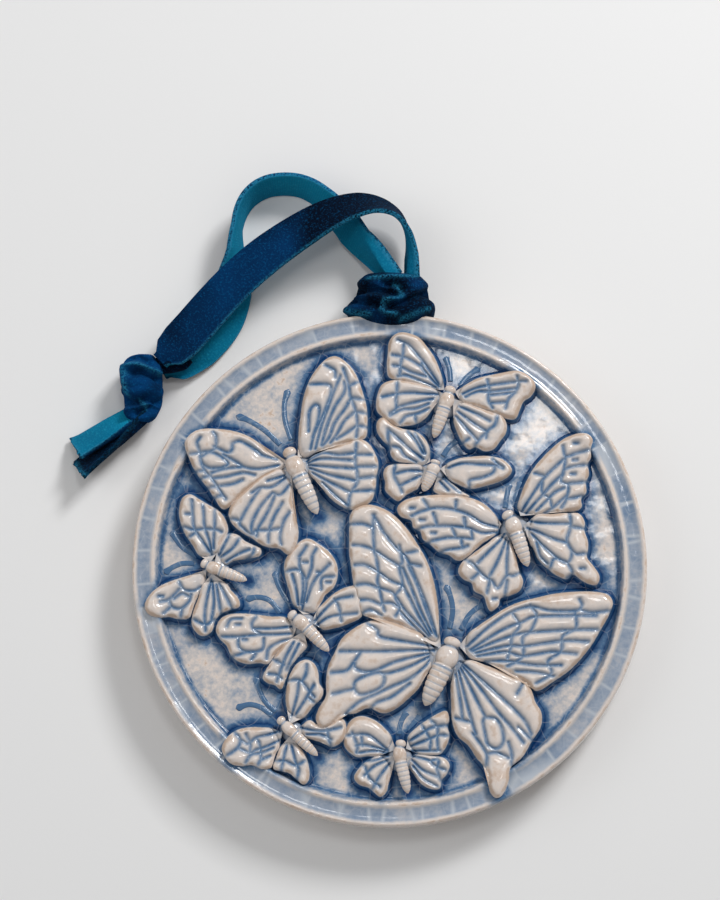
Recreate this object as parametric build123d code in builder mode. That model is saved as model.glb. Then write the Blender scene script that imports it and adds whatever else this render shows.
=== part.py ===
"""Round glazed ceramic ornament: nine butterflies in relief on a dished medallion, hung by a velvet ribbon.

The medallion lies on its back with its face up: +Z is out of the face, +Y is the top edge where the
ribbon is tied, and the origin is the middle of the back. All sizes are in millimetres.
"""
from build123d import *
import math
import os

os.makedirs("parts", exist_ok=True)

# Medallion
disc_diameter = 89.0
disc_thickness = 9.5
rim_width = 4.7
field_recess = 2.3
back_round = 1.6
front_round = 1.1
rim_groove_depth = 0.5
rim_bead_width = 2.0
rim_bead_drop = 0.3
rim_wall_slope = 0.3
rim_flats = 2
bead_crest_share = 0.62
groove_floor_share = 0.28
foot_width = 7.0
foot_bevel = 0.8
back_hollow_depth = 4.4
hollow_slope = 1.2
cut_overrun = 1.0

# Butterfly reliefs, pressed by themselves and stuck on the field
fore_wing_height = 2.2
hind_wing_height = 1.9
wing_root_height = 1.1
body_rise = 1.75
body_facets = 5
vein_width = 0.42
vein_depth = 0.45
relief_gap = 0.15
web_reach_share = 0.40
web_width_share = 0.18
vein_reach_share = 0.6
vein_start_share = 0.26
vein_end_share = 0.86
vein_step = 3

# Ribbon, and the pair of holes that it passes through
ribbon_width = 7.0
ribbon_thickness = 1.2
ribbon_fold = 2.2
neck_diameter = 2.6
hole_diameter = 3.2
hole_spacing = 5.6
hole_height = 2.4
ribbon_centre = 0.3
seat_gap = 0.3
station_spacing = 2.2
bend_share = 0.45

# Knot against the rim: sections across its depth, each with shares of the depth, width and height
rim_knot_width = 15.4
rim_knot_depth = 8.6
rim_knot_height = 11.2
rim_knot_lap = 1.7
rim_knot_lift = 0.4
rim_knot_bevel = 1.9
rim_knot_shares = [
    (0.00, 0.74, 0.12, 0.86), (0.10, 0.96, 0.02, 0.97), (0.30, 1.00, 0.00, 1.00), (0.40, 0.86, 0.06, 0.93),
    (0.50, 0.84, 0.06, 0.94), (0.66, 0.76, 0.09, 0.91), (0.72, 0.66, 0.14, 0.86), (0.80, 0.70, 0.12, 0.88),
    (0.94, 0.64, 0.16, 0.84), (1.00, 0.44, 0.28, 0.72),
]

# Knot at the far end of the loop
end_knot_width = 6.8
end_knot_height = 7.0
end_knot_bevel = 1.7
end_knot_lift = 0.2
end_knot_top_shares = (-0.991, 0.856)
end_knot_foot_shares = (-0.980, 0.591)
end_knot_shares = [(0.00, 0.62), (0.25, 1.00), (0.50, 0.88), (0.76, 1.00), (1.00, 0.66)]

disc_radius = disc_diameter / 2
field_height = disc_thickness - field_recess
field_radius = disc_radius - rim_width
foot_radius = disc_radius - foot_width
rim_knot_base = disc_radius - rim_knot_lap


def at_share(share):
    """A point of the face, from its shares of the disc's radius."""
    return Vector(share[0] * disc_radius, share[1] * disc_radius)


def made(part, name):
    """Name one finished piece and write it."""
    part.label = name
    export_step(part, f"parts/{name}.step")
    print(f"{name}: {len(part.solids())} solid, {part.volume:.1f} mm3")


# Butterfly outlines. Each body runs from head to tail with a width, and each wing has its root and the
# points of its edge, all as shares of the disc's radius. The first two wings are the fore wings.
upper_left_shares = dict(
    body=((-0.397, 0.476), (-0.272, 0.192), 0.043),
    wings=[
        ((-0.385, 0.403), [(-0.412, 0.410), (-0.528, 0.499), (-0.590, 0.526), (-0.721, 0.538), (-0.764, 0.522),
         (-0.791, 0.491), (-0.791, 0.461), (-0.760, 0.387), (-0.636, 0.225), (-0.486, 0.345), (-0.412, 0.387)]),
        ((-0.354, 0.426), [(-0.350, 0.457), (-0.350, 0.530), (-0.320, 0.704), (-0.269, 0.789), (-0.238, 0.816),
         (-0.207, 0.824), (-0.177, 0.808), (-0.122, 0.739), (-0.088, 0.627), (-0.092, 0.503), (-0.211, 0.472),
         (-0.327, 0.426)]),
        ((-0.381, 0.372), [(-0.416, 0.379), (-0.490, 0.356), (-0.598, 0.260), (-0.621, 0.213), (-0.609, 0.171),
         (-0.567, 0.132), (-0.493, 0.086), (-0.424, 0.070), (-0.389, 0.047), (-0.362, 0.078), (-0.350, 0.132),
         (-0.378, 0.318)]),
        ((-0.339, 0.399), [(-0.312, 0.418), (-0.258, 0.449), (-0.115, 0.495), (-0.076, 0.476), (-0.049, 0.430),
         (-0.041, 0.391), (-0.068, 0.256), (-0.150, 0.221), (-0.200, 0.244), (-0.312, 0.364)]),
    ],
)
top_shares = dict(
    body=((0.249, 0.720), (0.168, 0.485), 0.043),
    wings=[
        ((0.218, 0.689), [(0.210, 0.723), (0.175, 0.824), (0.121, 0.893), (0.051, 0.917), (0.020, 0.905),
         (0.001, 0.878), (-0.007, 0.789), (0.001, 0.743), (0.187, 0.692)]),
        ((0.256, 0.681), [(0.279, 0.692), (0.361, 0.739), (0.500, 0.762), (0.538, 0.747), (0.565, 0.719),
         (0.569, 0.692), (0.550, 0.662), (0.523, 0.642), (0.492, 0.577), (0.457, 0.577), (0.279, 0.646)]),
        ((0.214, 0.673), [(0.183, 0.692), (0.117, 0.716), (0.009, 0.727), (-0.026, 0.712), (-0.041, 0.681),
         (-0.045, 0.607), (0.028, 0.549), (0.109, 0.557), (0.148, 0.584), (0.194, 0.658)]),
        ((0.248, 0.654), [(0.283, 0.638), (0.438, 0.588), (0.457, 0.553), (0.453, 0.519), (0.407, 0.457),
         (0.372, 0.449), (0.337, 0.464), (0.310, 0.457), (0.287, 0.480), (0.264, 0.526), (0.252, 0.580)]),
    ],
)
upper_middle_shares = dict(
    body=((0.187, 0.426), (0.128, 0.280), 0.043),
    wings=[
        ((0.160, 0.406), [(0.160, 0.441), (0.144, 0.491), (0.105, 0.526), (0.051, 0.538), (-0.018, 0.584),
         (-0.045, 0.565), (-0.045, 0.526), (0.001, 0.468), (0.009, 0.434), (0.032, 0.410), (0.133, 0.395)]),
        ((0.198, 0.379), [(0.221, 0.395), (0.264, 0.418), (0.376, 0.430), (0.426, 0.422), (0.457, 0.403),
         (0.476, 0.376), (0.461, 0.349), (0.426, 0.329), (0.318, 0.302), (0.229, 0.345)]),
        ((0.156, 0.372), [(0.129, 0.391), (0.020, 0.399), (-0.010, 0.387), (-0.022, 0.360), (-0.014, 0.298),
         (0.036, 0.256), (0.117, 0.314)]),
        ((0.187, 0.345), [(0.210, 0.341), (0.310, 0.283), (0.250, 0.276), (0.198, 0.279), (0.171, 0.302)]),
    ],
)
right_shares = dict(
    body=((0.446, 0.225), (0.538, -0.014), 0.043),
    wings=[
        ((0.434, 0.163), [(0.422, 0.179), (0.364, 0.244), (0.268, 0.275), (0.206, 0.279), (0.090, 0.267),
         (0.048, 0.248), (0.032, 0.221), (0.048, 0.194), (0.086, 0.179), (0.094, 0.151), (0.121, 0.136),
         (0.133, 0.105), (0.194, 0.055), (0.260, 0.024), (0.295, 0.032), (0.415, 0.128)]),
        ((0.507, 0.194), [(0.500, 0.221), (0.511, 0.279), (0.558, 0.376), (0.631, 0.457), (0.716, 0.511),
         (0.762, 0.515), (0.789, 0.491), (0.770, 0.395), (0.774, 0.356), (0.762, 0.325), (0.762, 0.287),
         (0.743, 0.260), (0.743, 0.229), (0.716, 0.213), (0.561, 0.202)]),
        ((0.449, 0.132), [(0.422, 0.117), (0.279, 0.012), (0.268, -0.022), (0.287, -0.049), (0.318, -0.065),
         (0.330, -0.096), (0.364, -0.115), (0.391, -0.173), (0.418, -0.154), (0.430, -0.123), (0.503, -0.092),
         (0.515, -0.057), (0.469, 0.090)]),
        ((0.519, 0.155), [(0.561, 0.194), (0.735, 0.202), (0.755, 0.171), (0.766, 0.097), (0.762, 0.032),
         (0.809, -0.038), (0.797, -0.073), (0.751, -0.061), (0.712, -0.034), (0.681, -0.049), (0.643, -0.034),
         (0.577, 0.024), (0.538, 0.109)]),
    ],
)
lower_right_shares = dict(
    body=((0.252, -0.257), (0.128, -0.548), 0.062),
    wings=[
        ((0.198, -0.316), [(0.190, -0.270), (0.183, -0.115), (0.167, -0.042), (0.109, 0.086), (0.024, 0.194),
         (-0.022, 0.225), (-0.076, 0.240), (-0.122, 0.233), (-0.150, 0.202), (-0.153, 0.051), (-0.126, -0.123),
         (-0.103, -0.185), (0.040, -0.223), (0.171, -0.289)]),
        ((0.268, -0.308), [(0.299, -0.270), (0.442, -0.165), (0.565, -0.123), (0.635, -0.107), (0.789, -0.100),
         (0.840, -0.111), (0.859, -0.142), (0.813, -0.243), (0.735, -0.355), (0.689, -0.401), (0.565, -0.478),
         (0.442, -0.397), (0.303, -0.347)]),
        ((0.190, -0.339), [(0.133, -0.270), (0.071, -0.239), (-0.053, -0.208), (-0.099, -0.219),
         (-0.184, -0.281), (-0.235, -0.386), (-0.242, -0.498), (-0.269, -0.544), (-0.281, -0.587),
         (-0.258, -0.621), (-0.223, -0.610), (-0.180, -0.571), (-0.080, -0.544), (-0.022, -0.563),
         (0.028, -0.544), (0.075, -0.505), (0.113, -0.467), (0.163, -0.374)]),
        ((0.256, -0.362), [(0.295, -0.362), (0.372, -0.382), (0.511, -0.440), (0.542, -0.474),
         (0.581, -0.563), (0.577, -0.617), (0.507, -0.730), (0.461, -0.772), (0.453, -0.822), (0.430, -0.872),
         (0.403, -0.884), (0.380, -0.853), (0.372, -0.784), (0.303, -0.687), (0.260, -0.648),
         (0.241, -0.594), (0.241, -0.436)]),
    ],
)
left_shares = dict(
    body=((-0.737, 0.026), (-0.537, -0.058), 0.039),
    wings=[
        ((-0.690, 0.016), [(-0.729, 0.043), (-0.787, 0.124), (-0.806, 0.171), (-0.814, 0.217), (-0.803, 0.267),
         (-0.772, 0.283), (-0.660, 0.217), (-0.633, 0.179), (-0.625, 0.136), (-0.667, 0.055)]),
        ((-0.706, -0.011), [(-0.721, -0.026), (-0.803, -0.042), (-0.888, -0.077), (-0.922, -0.107),
         (-0.942, -0.146), (-0.930, -0.181), (-0.891, -0.196), (-0.772, -0.196), (-0.710, -0.049)]),
        ((-0.675, 0.012), [(-0.663, 0.059), (-0.652, 0.097), (-0.625, 0.128), (-0.586, 0.124), (-0.497, 0.070),
         (-0.501, 0.043), (-0.602, 0.024), (-0.636, 0.009)]),
        ((-0.683, -0.026), [(-0.714, -0.061), (-0.756, -0.177), (-0.760, -0.223), (-0.737, -0.258),
         (-0.710, -0.266), (-0.683, -0.247), (-0.671, -0.208), (-0.648, -0.181), (-0.578, -0.154),
         (-0.582, -0.123), (-0.636, -0.061)]),
    ],
)
middle_left_shares = dict(
    body=((-0.395, -0.167), (-0.223, -0.336), 0.047),
    wings=[
        ((-0.331, -0.185), [(-0.362, -0.154), (-0.401, -0.038), (-0.405, 0.009), (-0.389, 0.047),
         (-0.350, 0.094), (-0.312, 0.109), (-0.231, 0.055), (-0.204, 0.012), (-0.200, -0.038),
         (-0.215, -0.080), (-0.246, -0.107), (-0.293, -0.177)]),
        ((-0.350, -0.219), [(-0.393, -0.200), (-0.567, -0.181), (-0.617, -0.185), (-0.652, -0.204),
         (-0.667, -0.243), (-0.609, -0.339), (-0.582, -0.362), (-0.544, -0.374), (-0.466, -0.374),
         (-0.370, -0.270)]),
        ((-0.300, -0.216), [(-0.281, -0.177), (-0.211, -0.104), (-0.165, -0.080), (-0.115, -0.077),
         (-0.099, -0.138), (-0.107, -0.192), (-0.204, -0.235), (-0.262, -0.239)]),
        ((-0.327, -0.250), [(-0.378, -0.277), (-0.428, -0.328), (-0.486, -0.424), (-0.466, -0.447),
         (-0.416, -0.471), (-0.381, -0.389), (-0.316, -0.301)]),
    ],
)
lower_left_shares = dict(
    body=((-0.432, -0.571), (-0.264, -0.735), 0.035),
    wings=[
        ((-0.381, -0.606), [(-0.385, -0.556), (-0.397, -0.513), (-0.381, -0.417), (-0.354, -0.374),
         (-0.320, -0.359), (-0.289, -0.374), (-0.273, -0.409), (-0.269, -0.447), (-0.254, -0.474),
         (-0.262, -0.505), (-0.335, -0.583)]),
        ((-0.408, -0.633), [(-0.447, -0.625), (-0.540, -0.617), (-0.586, -0.629), (-0.621, -0.656),
         (-0.640, -0.695), (-0.629, -0.730), (-0.602, -0.757), (-0.524, -0.760), (-0.486, -0.776),
         (-0.451, -0.768), (-0.420, -0.683)]),
        ((-0.358, -0.629), [(-0.331, -0.610), (-0.304, -0.590), (-0.265, -0.614), (-0.227, -0.606),
         (-0.196, -0.579), (-0.169, -0.598), (-0.169, -0.648), (-0.192, -0.679), (-0.223, -0.691),
         (-0.331, -0.648)]),
        ((-0.381, -0.652), [(-0.408, -0.683), (-0.443, -0.772), (-0.381, -0.791), (-0.327, -0.834),
         (-0.308, -0.815), (-0.308, -0.768), (-0.323, -0.722), (-0.354, -0.683)]),
    ],
)
bottom_shares = dict(
    body=((0.038, -0.652), (0.073, -0.880), 0.043),
    wings=[
        ((0.024, -0.702), [(0.009, -0.664), (-0.018, -0.621), (-0.057, -0.590), (-0.103, -0.575),
         (-0.142, -0.587), (-0.165, -0.621), (-0.173, -0.679), (-0.153, -0.710), (-0.122, -0.730),
         (-0.034, -0.722)]),
        ((0.063, -0.699), [(0.071, -0.660), (0.105, -0.617), (0.183, -0.567), (0.218, -0.556),
         (0.229, -0.587), (0.221, -0.614), (0.229, -0.648), (0.218, -0.687), (0.194, -0.718),
         (0.105, -0.714)]),
        ((0.024, -0.726), [(-0.034, -0.726), (-0.084, -0.745), (-0.115, -0.772), (-0.134, -0.807),
         (-0.115, -0.834), (-0.080, -0.845), (-0.034, -0.880), (-0.010, -0.857), (0.005, -0.768)]),
        ((0.063, -0.730), [(0.102, -0.722), (0.206, -0.733), (0.229, -0.760), (0.190, -0.849),
         (0.156, -0.849), (0.121, -0.830), (0.094, -0.795), (0.075, -0.760)]),
    ],
)

# The order in which the reliefs lie over each other, the uppermost first
butterfly_shares = {
    "butterfly_lower_right": lower_right_shares,
    "butterfly_upper_left": upper_left_shares,
    "butterfly_right": right_shares,
    "butterfly_top": top_shares,
    "butterfly_lower_left": lower_left_shares,
    "butterfly_upper_middle": upper_middle_shares,
    "butterfly_left": left_shares,
    "butterfly_middle_left": middle_left_shares,
    "butterfly_bottom": bottom_shares,
}


# Stations of a body from head to tail: shares of its length and of its half width
body_shares = [
    (0.00, 0.30), (0.05, 0.72), (0.12, 0.76), (0.17, 0.52), (0.24, 0.95), (0.36, 1.00), (0.45, 0.62),
    (0.58, 0.84), (0.78, 0.66), (1.00, 0.20),
]


def skinned(stations):
    """A solid with a skin of flat facets through stations that have as many corners each."""
    facets = [stations[0], stations[-1]]
    for near, far in zip(stations, stations[1:]):
        for i in range(len(near)):
            j = (i + 1) % len(near)
            facets += [(near[i], near[j], far[j]), (near[i], far[j], far[i])]
    return Solid(Shell([Face(Wire.make_polygon(corners)) for corners in facets]))


def wing_edge(edge_shares, grow=0):
    """The edge points of a wing, each moved outwards by grow, square to the line between its neighbours."""
    points = [at_share(share) for share in edge_shares]
    area = sum(a.X * b.Y - b.X * a.Y for a, b in zip(points, points[1:] + points[:1]))
    outwards = math.copysign(1, area)
    moved = []
    for i, point in enumerate(points):
        along = (points[(i + 1) % len(points)] - points[i - 1]).normalized()
        moved.append(point + Vector(along.Y, -along.X) * outwards * grow)
    return moved


def wing_face(edge_shares, grow=0):
    """The face inside a wing's outline, a scalloped chain of arcs, each through three of its points."""
    points = wing_edge(edge_shares, grow)
    with BuildSketch() as wing:
        with BuildLine():
            for i in range(0, len(points) - 2, 2):
                ThreePointArc(*points[i:i + 3])
            if len(points) % 2:
                Line(points[-1], points[0])
            else:
                ThreePointArc(points[-2], points[-1], points[0])
        make_face()
    return wing.sketch


def root_web(body_middle, wing_shares):
    """The low web that runs from under the body into a wing."""
    root_share, edge_shares = wing_shares
    points = wing_edge(edge_shares)
    middle = sum(points, Vector()) / len(points)
    reach = middle - body_middle
    across = reach.normalized().rotate(Axis.Z, 90) * reach.length * web_width_share
    inner = body_middle + reach * web_reach_share
    with BuildSketch() as web:
        with BuildLine():
            Polyline(body_middle + across, inner + across, inner - across, body_middle - across, close=True)
        make_face()
    return web.sketch


def veins(wing_shares):
    """Slim grooves that widen from the wing's root towards every second point of its outer edge."""
    root_share, edge_shares = wing_shares
    root = at_share(root_share)
    points = [at_share(share) for share in edge_shares]
    reach = max((point - root).length for point in points)
    outer = [point for point in points if (point - root).length > reach * vein_reach_share]
    with BuildSketch() as grooves:
        for point in outer[::vein_step]:
            ray = point - root
            across = ray.normalized().rotate(Axis.Z, 90) * vein_width / 2
            end = root + ray * vein_end_share
            with BuildLine():
                Polyline(root + ray * vein_start_share, end + across, end - across, close=True)
            make_face()
    return grooves.sketch


def body_stations(head, tail, body_radius):
    """The corners of a body's sections, a half round on straight sides that stand on the field."""
    across = (tail - head).cross(Vector(0, 0, 1)).normalized()
    stations = []
    for length_share, size_share in body_shares:
        foot = head + (tail - head) * length_share + Vector(0, 0, field_height)
        middle = foot + Vector(0, 0, body_rise)
        half_width = body_radius * size_share
        back = [math.radians(180 * i / body_facets) for i in range(body_facets + 1)]
        corners = [middle + (across * math.cos(a) + Vector(0, 0, 1) * math.sin(a)) * half_width for a in back]
        stations.append([foot + across * half_width, *corners, foot - across * half_width])
    return stations


def butterfly(shares, above):
    """One relief: four wings on a low web, veins cut in them, and a round-backed body between them.

    above holds the edges of the wings that lie over this relief, which is cut back from them.
    """
    head_place, tail_place, width_share = shares["body"]
    head = at_share(head_place)
    tail = at_share(tail_place)
    body_length = (tail - head).length
    body_radius = width_share * disc_radius / 2
    body_middle = head + (tail - head) / 3
    with BuildPart() as relief:
        for fore, height in ((True, fore_wing_height), (False, hind_wing_height)):
            wings = shares["wings"][:2] if fore else shares["wings"][2:]
            with BuildSketch(Plane.XY.offset(field_height)):
                for root_share, edge_shares in wings:
                    add(wing_face(edge_shares))
            extrude(amount=height)
        with BuildSketch(Plane.XY.offset(field_height)):
            for wing_shares in shares["wings"]:
                add(root_web(body_middle, wing_shares))
        extrude(amount=wing_root_height)
        for first, height in ((0, fore_wing_height), (2, hind_wing_height)):
            with BuildSketch(Plane.XY.offset(field_height + height - vein_depth)):
                for wing_shares in shares["wings"][first:first + 2]:
                    add(veins(wing_shares))
            extrude(amount=vein_depth * 2, mode=Mode.SUBTRACT)
        if above:
            with BuildSketch(Plane.XY.offset(field_height)):
                for edge_shares in above:
                    add(wing_face(edge_shares, relief_gap))
            extrude(amount=fore_wing_height * 2, mode=Mode.SUBTRACT)
        add(skinned(body_stations(head, tail, body_radius)))
    return relief


# Which wings lie over each relief, from the order above: those of the earlier reliefs that come near it
names = list(butterfly_shares)
overlaps = {
    "butterfly_upper_left": ["butterfly_lower_right"],
    "butterfly_right": ["butterfly_lower_right"],
    "butterfly_lower_left": ["butterfly_lower_right"],
    "butterfly_upper_middle": ["butterfly_top", "butterfly_right", "butterfly_upper_left"],
    "butterfly_left": ["butterfly_upper_left"],
    "butterfly_middle_left": ["butterfly_upper_left", "butterfly_lower_right", "butterfly_lower_left"],
    "butterfly_bottom": ["butterfly_lower_left"],
}
for name in names:
    above = [wing[1] for other in overlaps.get(name, []) for wing in butterfly_shares[other]["wings"]]
    relief = butterfly(butterfly_shares[name], above)
    made(relief.part, name)


hole_places = [(ribbon_centre + side * hole_spacing / 2, hole_height) for side in (-1, 1)]


def round_flats(centre, radius, start, end):
    """Points on a round edge of the turned profile, from one angle to another, for its flats."""
    angles = [math.radians(start + (end - start) * i / rim_flats) for i in range(rim_flats + 1)]
    return [(centre[0] + radius * math.cos(angle), centre[1] + radius * math.sin(angle)) for angle in angles]


# Medallion: one turned profile, pocketed where wings lie over the rim, with the hanging holes in its foot
with BuildPart() as medallion:
    with BuildSketch(Plane.XZ):
        with BuildLine():
            groove_inner = field_radius + rim_bead_width
            groove_outer = disc_radius - front_round
            groove_floor = (groove_outer - groove_inner) * groove_floor_share
            bead_foot = disc_thickness - rim_bead_drop
            bead_round = (groove_inner - field_radius) / 2
            Polyline(
                (0, back_hollow_depth),
                (foot_radius - hollow_slope, back_hollow_depth),
                (foot_radius, back_hollow_depth - hollow_slope),
                (foot_radius, foot_bevel),
                (foot_radius + foot_bevel, 0),
                *round_flats((disc_radius - back_round, back_round), back_round, -90, 0),
                *round_flats((groove_outer, disc_thickness - front_round), front_round, 0, 90),
                (groove_outer - groove_floor, disc_thickness - rim_groove_depth),
                (groove_inner + groove_floor, disc_thickness - rim_groove_depth),
                (groove_inner, bead_foot),
                (groove_inner - bead_round * bead_crest_share, disc_thickness),
                (field_radius + bead_round * bead_crest_share, disc_thickness),
                (field_radius, bead_foot),
                (field_radius - rim_wall_slope, field_height),
                (0, field_height),
                close=True,
            )
        make_face()
    revolve(axis=Axis.Z)
    for shares in butterfly_shares.values():
        for root_share, edge_shares in shares["wings"]:
            reach = max(point.length for point in wing_edge(edge_shares, relief_gap))
            if reach > field_radius - rim_wall_slope:
                with BuildSketch(Plane.XY.offset(field_height)):
                    add(wing_face(edge_shares, relief_gap))
                    Circle(field_radius - rim_width / 2, mode=Mode.SUBTRACT)
                extrude(amount=field_recess + cut_overrun, mode=Mode.SUBTRACT)
    with BuildSketch(Plane.XZ.offset(-disc_radius - cut_overrun)):
        with Locations(*hole_places):
            Circle(hole_diameter / 2)
    extrude(amount=foot_width + cut_overrun * 2, mode=Mode.SUBTRACT)
made(medallion.part, "medallion")


# Ribbon bridge: the folded ribbon crosses inside the back's hollow and comes out through both holes
with BuildPart() as ribbon_bridge:
    bridge_face = foot_radius - foot_bevel - seat_gap
    with BuildSketch(Plane.XZ.offset(-bridge_face)):
        with Locations((ribbon_centre, hole_height)):
            SlotCenterToCenter(hole_spacing, neck_diameter)
    extrude(amount=ribbon_fold)
    with BuildSketch(Plane.XZ.offset(-disc_radius)):
        with Locations(*hole_places):
            Circle(neck_diameter / 2)
    extrude(amount=disc_radius - bridge_face + ribbon_fold / 2)
made(ribbon_bridge.part, "ribbon_bridge")


def bevelled_section(centre, across, upward, width, height, bevel):
    """The eight corners of an oblong section with bevelled corners."""
    side, top = width / 2, height / 2
    cut = min(bevel, side / 2, top / 2)
    corners = [(side, top - cut), (side - cut, top), (cut - side, top), (-side, top - cut)]
    corners += [(-x, -y) for x, y in corners]
    return [centre + across * x + upward * y for x, y in corners]


# Knot drawn tight against the rim and lapping its front edge, cut clear of the rim it bears on
with BuildPart() as rim_knot:
    stations = []
    for depth_share, width_share, low_share, high_share in rim_knot_shares:
        height = rim_knot_height * (high_share - low_share)
        middle = rim_knot_lift + rim_knot_height * (low_share + high_share) / 2
        centre = Vector(ribbon_centre, rim_knot_base + rim_knot_depth * depth_share, middle)
        size = (rim_knot_width * width_share, height)
        stations.append(bevelled_section(centre, Vector(1, 0, 0), Vector(0, 0, 1), *size, rim_knot_bevel))
    add(skinned(stations))
    with BuildSketch(Plane.XY.offset(-cut_overrun)):
        Circle(disc_radius + seat_gap)
    extrude(amount=disc_thickness + seat_gap + cut_overrun, mode=Mode.SUBTRACT)
made(rim_knot.part, "rim_knot")


def flat_run(name, route, tilts, pinch_shares):
    """A stretch of flat ribbon along a hand-laid route, a closed skin of flat facets between its stations.

    The route is straight runs joined by tangent arcs. tilts turn the ribbon about its line, in degrees,
    and pinch_shares narrow it, both spread evenly over the route's corners.
    """
    points = [Vector(*point) for point in route]
    runs = [(b - a) for a, b in zip(points, points[1:])]
    radii = []
    for before, after in zip(runs, runs[1:]):
        turn = math.radians(before.get_angle(after))
        radii.append(bend_share * min(before.length, after.length) / math.tan(turn / 2))
    print(f"{name}: arc radii {min(radii):.1f} to {max(radii):.1f} mm")
    with BuildLine() as line:
        FilletPolyline(*points, radius=radii)
    path = line.wires()[0]
    count = max(3, round(path.length / station_spacing))
    stations = []
    for i in range(count + 1):
        share = i / count
        place = min(int(share * (len(route) - 1)), len(route) - 2)
        blend = share * (len(route) - 1) - place
        tilt = math.radians(tilts[place] * (1 - blend) + tilts[place + 1] * blend)
        pinch = pinch_shares[place] * (1 - blend) + pinch_shares[place + 1] * blend
        along = path % share
        level = along.cross(Vector(0, 0, 1)).normalized()
        across = level * math.cos(tilt) + level.cross(along) * math.sin(tilt)
        half_width = across * ribbon_width * pinch / 2
        half_thickness = across.cross(along) * ribbon_thickness / 2
        spot = path @ share
        stations.append([
            spot + half_width + half_thickness,
            spot - half_width + half_thickness,
            spot - half_width - half_thickness,
            spot + half_width - half_thickness,
        ])
    with BuildPart() as run:
        add(skinned(stations))
    section = ribbon_width * ribbon_thickness * sum(pinch_shares) / len(pinch_shares)
    filled = run.part.volume / (section * path.length)
    print(f"{name}: length {path.length:.1f} mm, volume {filled:.3f} of the section's")
    made(run.part, name)


# The loop, flopped to the left: the strand that lies over the other, velvet side up
front_strand_route = [
    (3.6, 51.8, 5.8), (3.7, 56.1, 5.9), (3.3, 59.6, 6.4), (1.8, 62.1, 7.4), (-0.6, 63.4, 8.2),
    (-3.7, 63.8, 8.6), (-7.3, 63.1, 8.7), (-11.6, 61.3, 8.5), (-16.8, 58.2, 8.0), (-22.1, 54.5, 7.7),
    (-26.9, 50.2, 7.5), (-30.9, 46.0, 6.8), (-34.9, 41.5, 5.8), (-39.9, 36.4, 5.0),
]
front_strand_tilts = [-97, -95, -86, -66, -46, -34, -24, -17, -12, -12, -13, -14, -14, -18]
front_strand_shares = [0.8, 0.95, 1, 1, 1, 1, 1, 1, 1, 1, 1, 1, 0.95, 0.72]
flat_run("front_strand", front_strand_route, front_strand_tilts, front_strand_shares)

# The strand beneath, plain side up, which bows out past the first one and comes back under it
back_strand_route = [
    (-1.1, 53.0, 5.6), (-2.9, 55.4, 4.9), (-5.4, 58.2, 4.1), (-8.5, 62.4, 3.2), (-12.0, 66.4, 3.1),
    (-15.2, 68.2, 3.4), (-18.4, 68.6, 3.6), (-21.6, 68.2, 3.7), (-24.3, 66.6, 3.8), (-26.0, 64.1, 3.9),
    (-26.8, 60.9, 3.9), (-27.0, 57.5, 3.6), (-27.0, 54.1, 2.8), (-27.5, 50.4, 2.2), (-28.3, 47.0, 2.0),
    (-29.4, 44.1, 2.0), (-31.5, 41.3, 2.0), (-34.6, 38.3, 2.1), (-39.8, 34.9, 2.6),
]
back_strand_tilts = [238, 240, 236, 222, 226, 236, 240, 241, 245, 252, 255, 248, 224, 206, 200, 198, 196, 194, 190]
back_strand_shares = [0.8, 0.95, 1, 1, 1, 1, 1, 1, 1, 1, 1, 1, 1, 1, 1, 1, 1, 0.9, 0.62]
flat_run("back_strand", back_strand_route, back_strand_tilts, back_strand_shares)


# The overhand knot that closes the loop
with BuildPart() as end_knot:
    top = at_share(end_knot_top_shares)
    foot = at_share(end_knot_foot_shares)
    across = (foot - top).cross(Vector(0, 0, 1)).normalized()
    stations = []
    for length_share, size_share in end_knot_shares:
        centre = top + (foot - top) * length_share + Vector(0, 0, end_knot_lift + end_knot_height / 2)
        size = (end_knot_width * size_share, end_knot_height * size_share)
        stations.append(bevelled_section(centre, across, Vector(0, 0, 1), *size, end_knot_bevel))
    add(skinned(stations))
made(end_knot.part, "end_knot")

# The two cut ends below it, leaning on their edges
light_tail_route = [(-46.2, 24.7, 3.6), (-49.9, 23.6, 3.5), (-54.6, 21.2, 3.4)]
flat_run("light_tail", light_tail_route, [130, 125, 120], [0.6, 0.9, 1])
dark_tail_route = [(-43.4, 24.5, 3.6), (-47.7, 21.3, 3.5), (-52.8, 17.3, 3.3)]
flat_run("dark_tail", dark_tail_route, [-60, -55, -50], [0.6, 0.9, 1])
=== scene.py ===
import math

import bpy
import numpy as np
from mathutils import Matrix, Vector
from mathutils.kdtree import KDTree


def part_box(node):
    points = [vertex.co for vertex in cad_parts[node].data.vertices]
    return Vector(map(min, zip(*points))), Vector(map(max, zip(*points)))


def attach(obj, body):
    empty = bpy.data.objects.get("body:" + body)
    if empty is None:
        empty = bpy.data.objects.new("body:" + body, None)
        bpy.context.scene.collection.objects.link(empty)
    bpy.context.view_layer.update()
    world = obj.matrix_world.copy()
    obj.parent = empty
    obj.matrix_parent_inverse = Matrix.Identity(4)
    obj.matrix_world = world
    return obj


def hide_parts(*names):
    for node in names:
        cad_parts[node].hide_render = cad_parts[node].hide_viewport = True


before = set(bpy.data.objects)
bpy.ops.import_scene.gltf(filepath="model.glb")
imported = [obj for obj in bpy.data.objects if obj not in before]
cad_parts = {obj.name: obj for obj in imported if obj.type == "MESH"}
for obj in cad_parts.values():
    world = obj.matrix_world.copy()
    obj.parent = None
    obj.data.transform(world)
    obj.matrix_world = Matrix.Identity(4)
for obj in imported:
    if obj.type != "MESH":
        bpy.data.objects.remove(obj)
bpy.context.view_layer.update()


# The view: the ornament lies on its back, seen from above its lower edge, a little off square, through
# a long lens. The camera is aimed beside the disc, because the picture has room for the ribbon above it.
face_low, face_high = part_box("medallion")
face_centre = (face_low + face_high) / 2
camera_distance = 0.440
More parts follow.
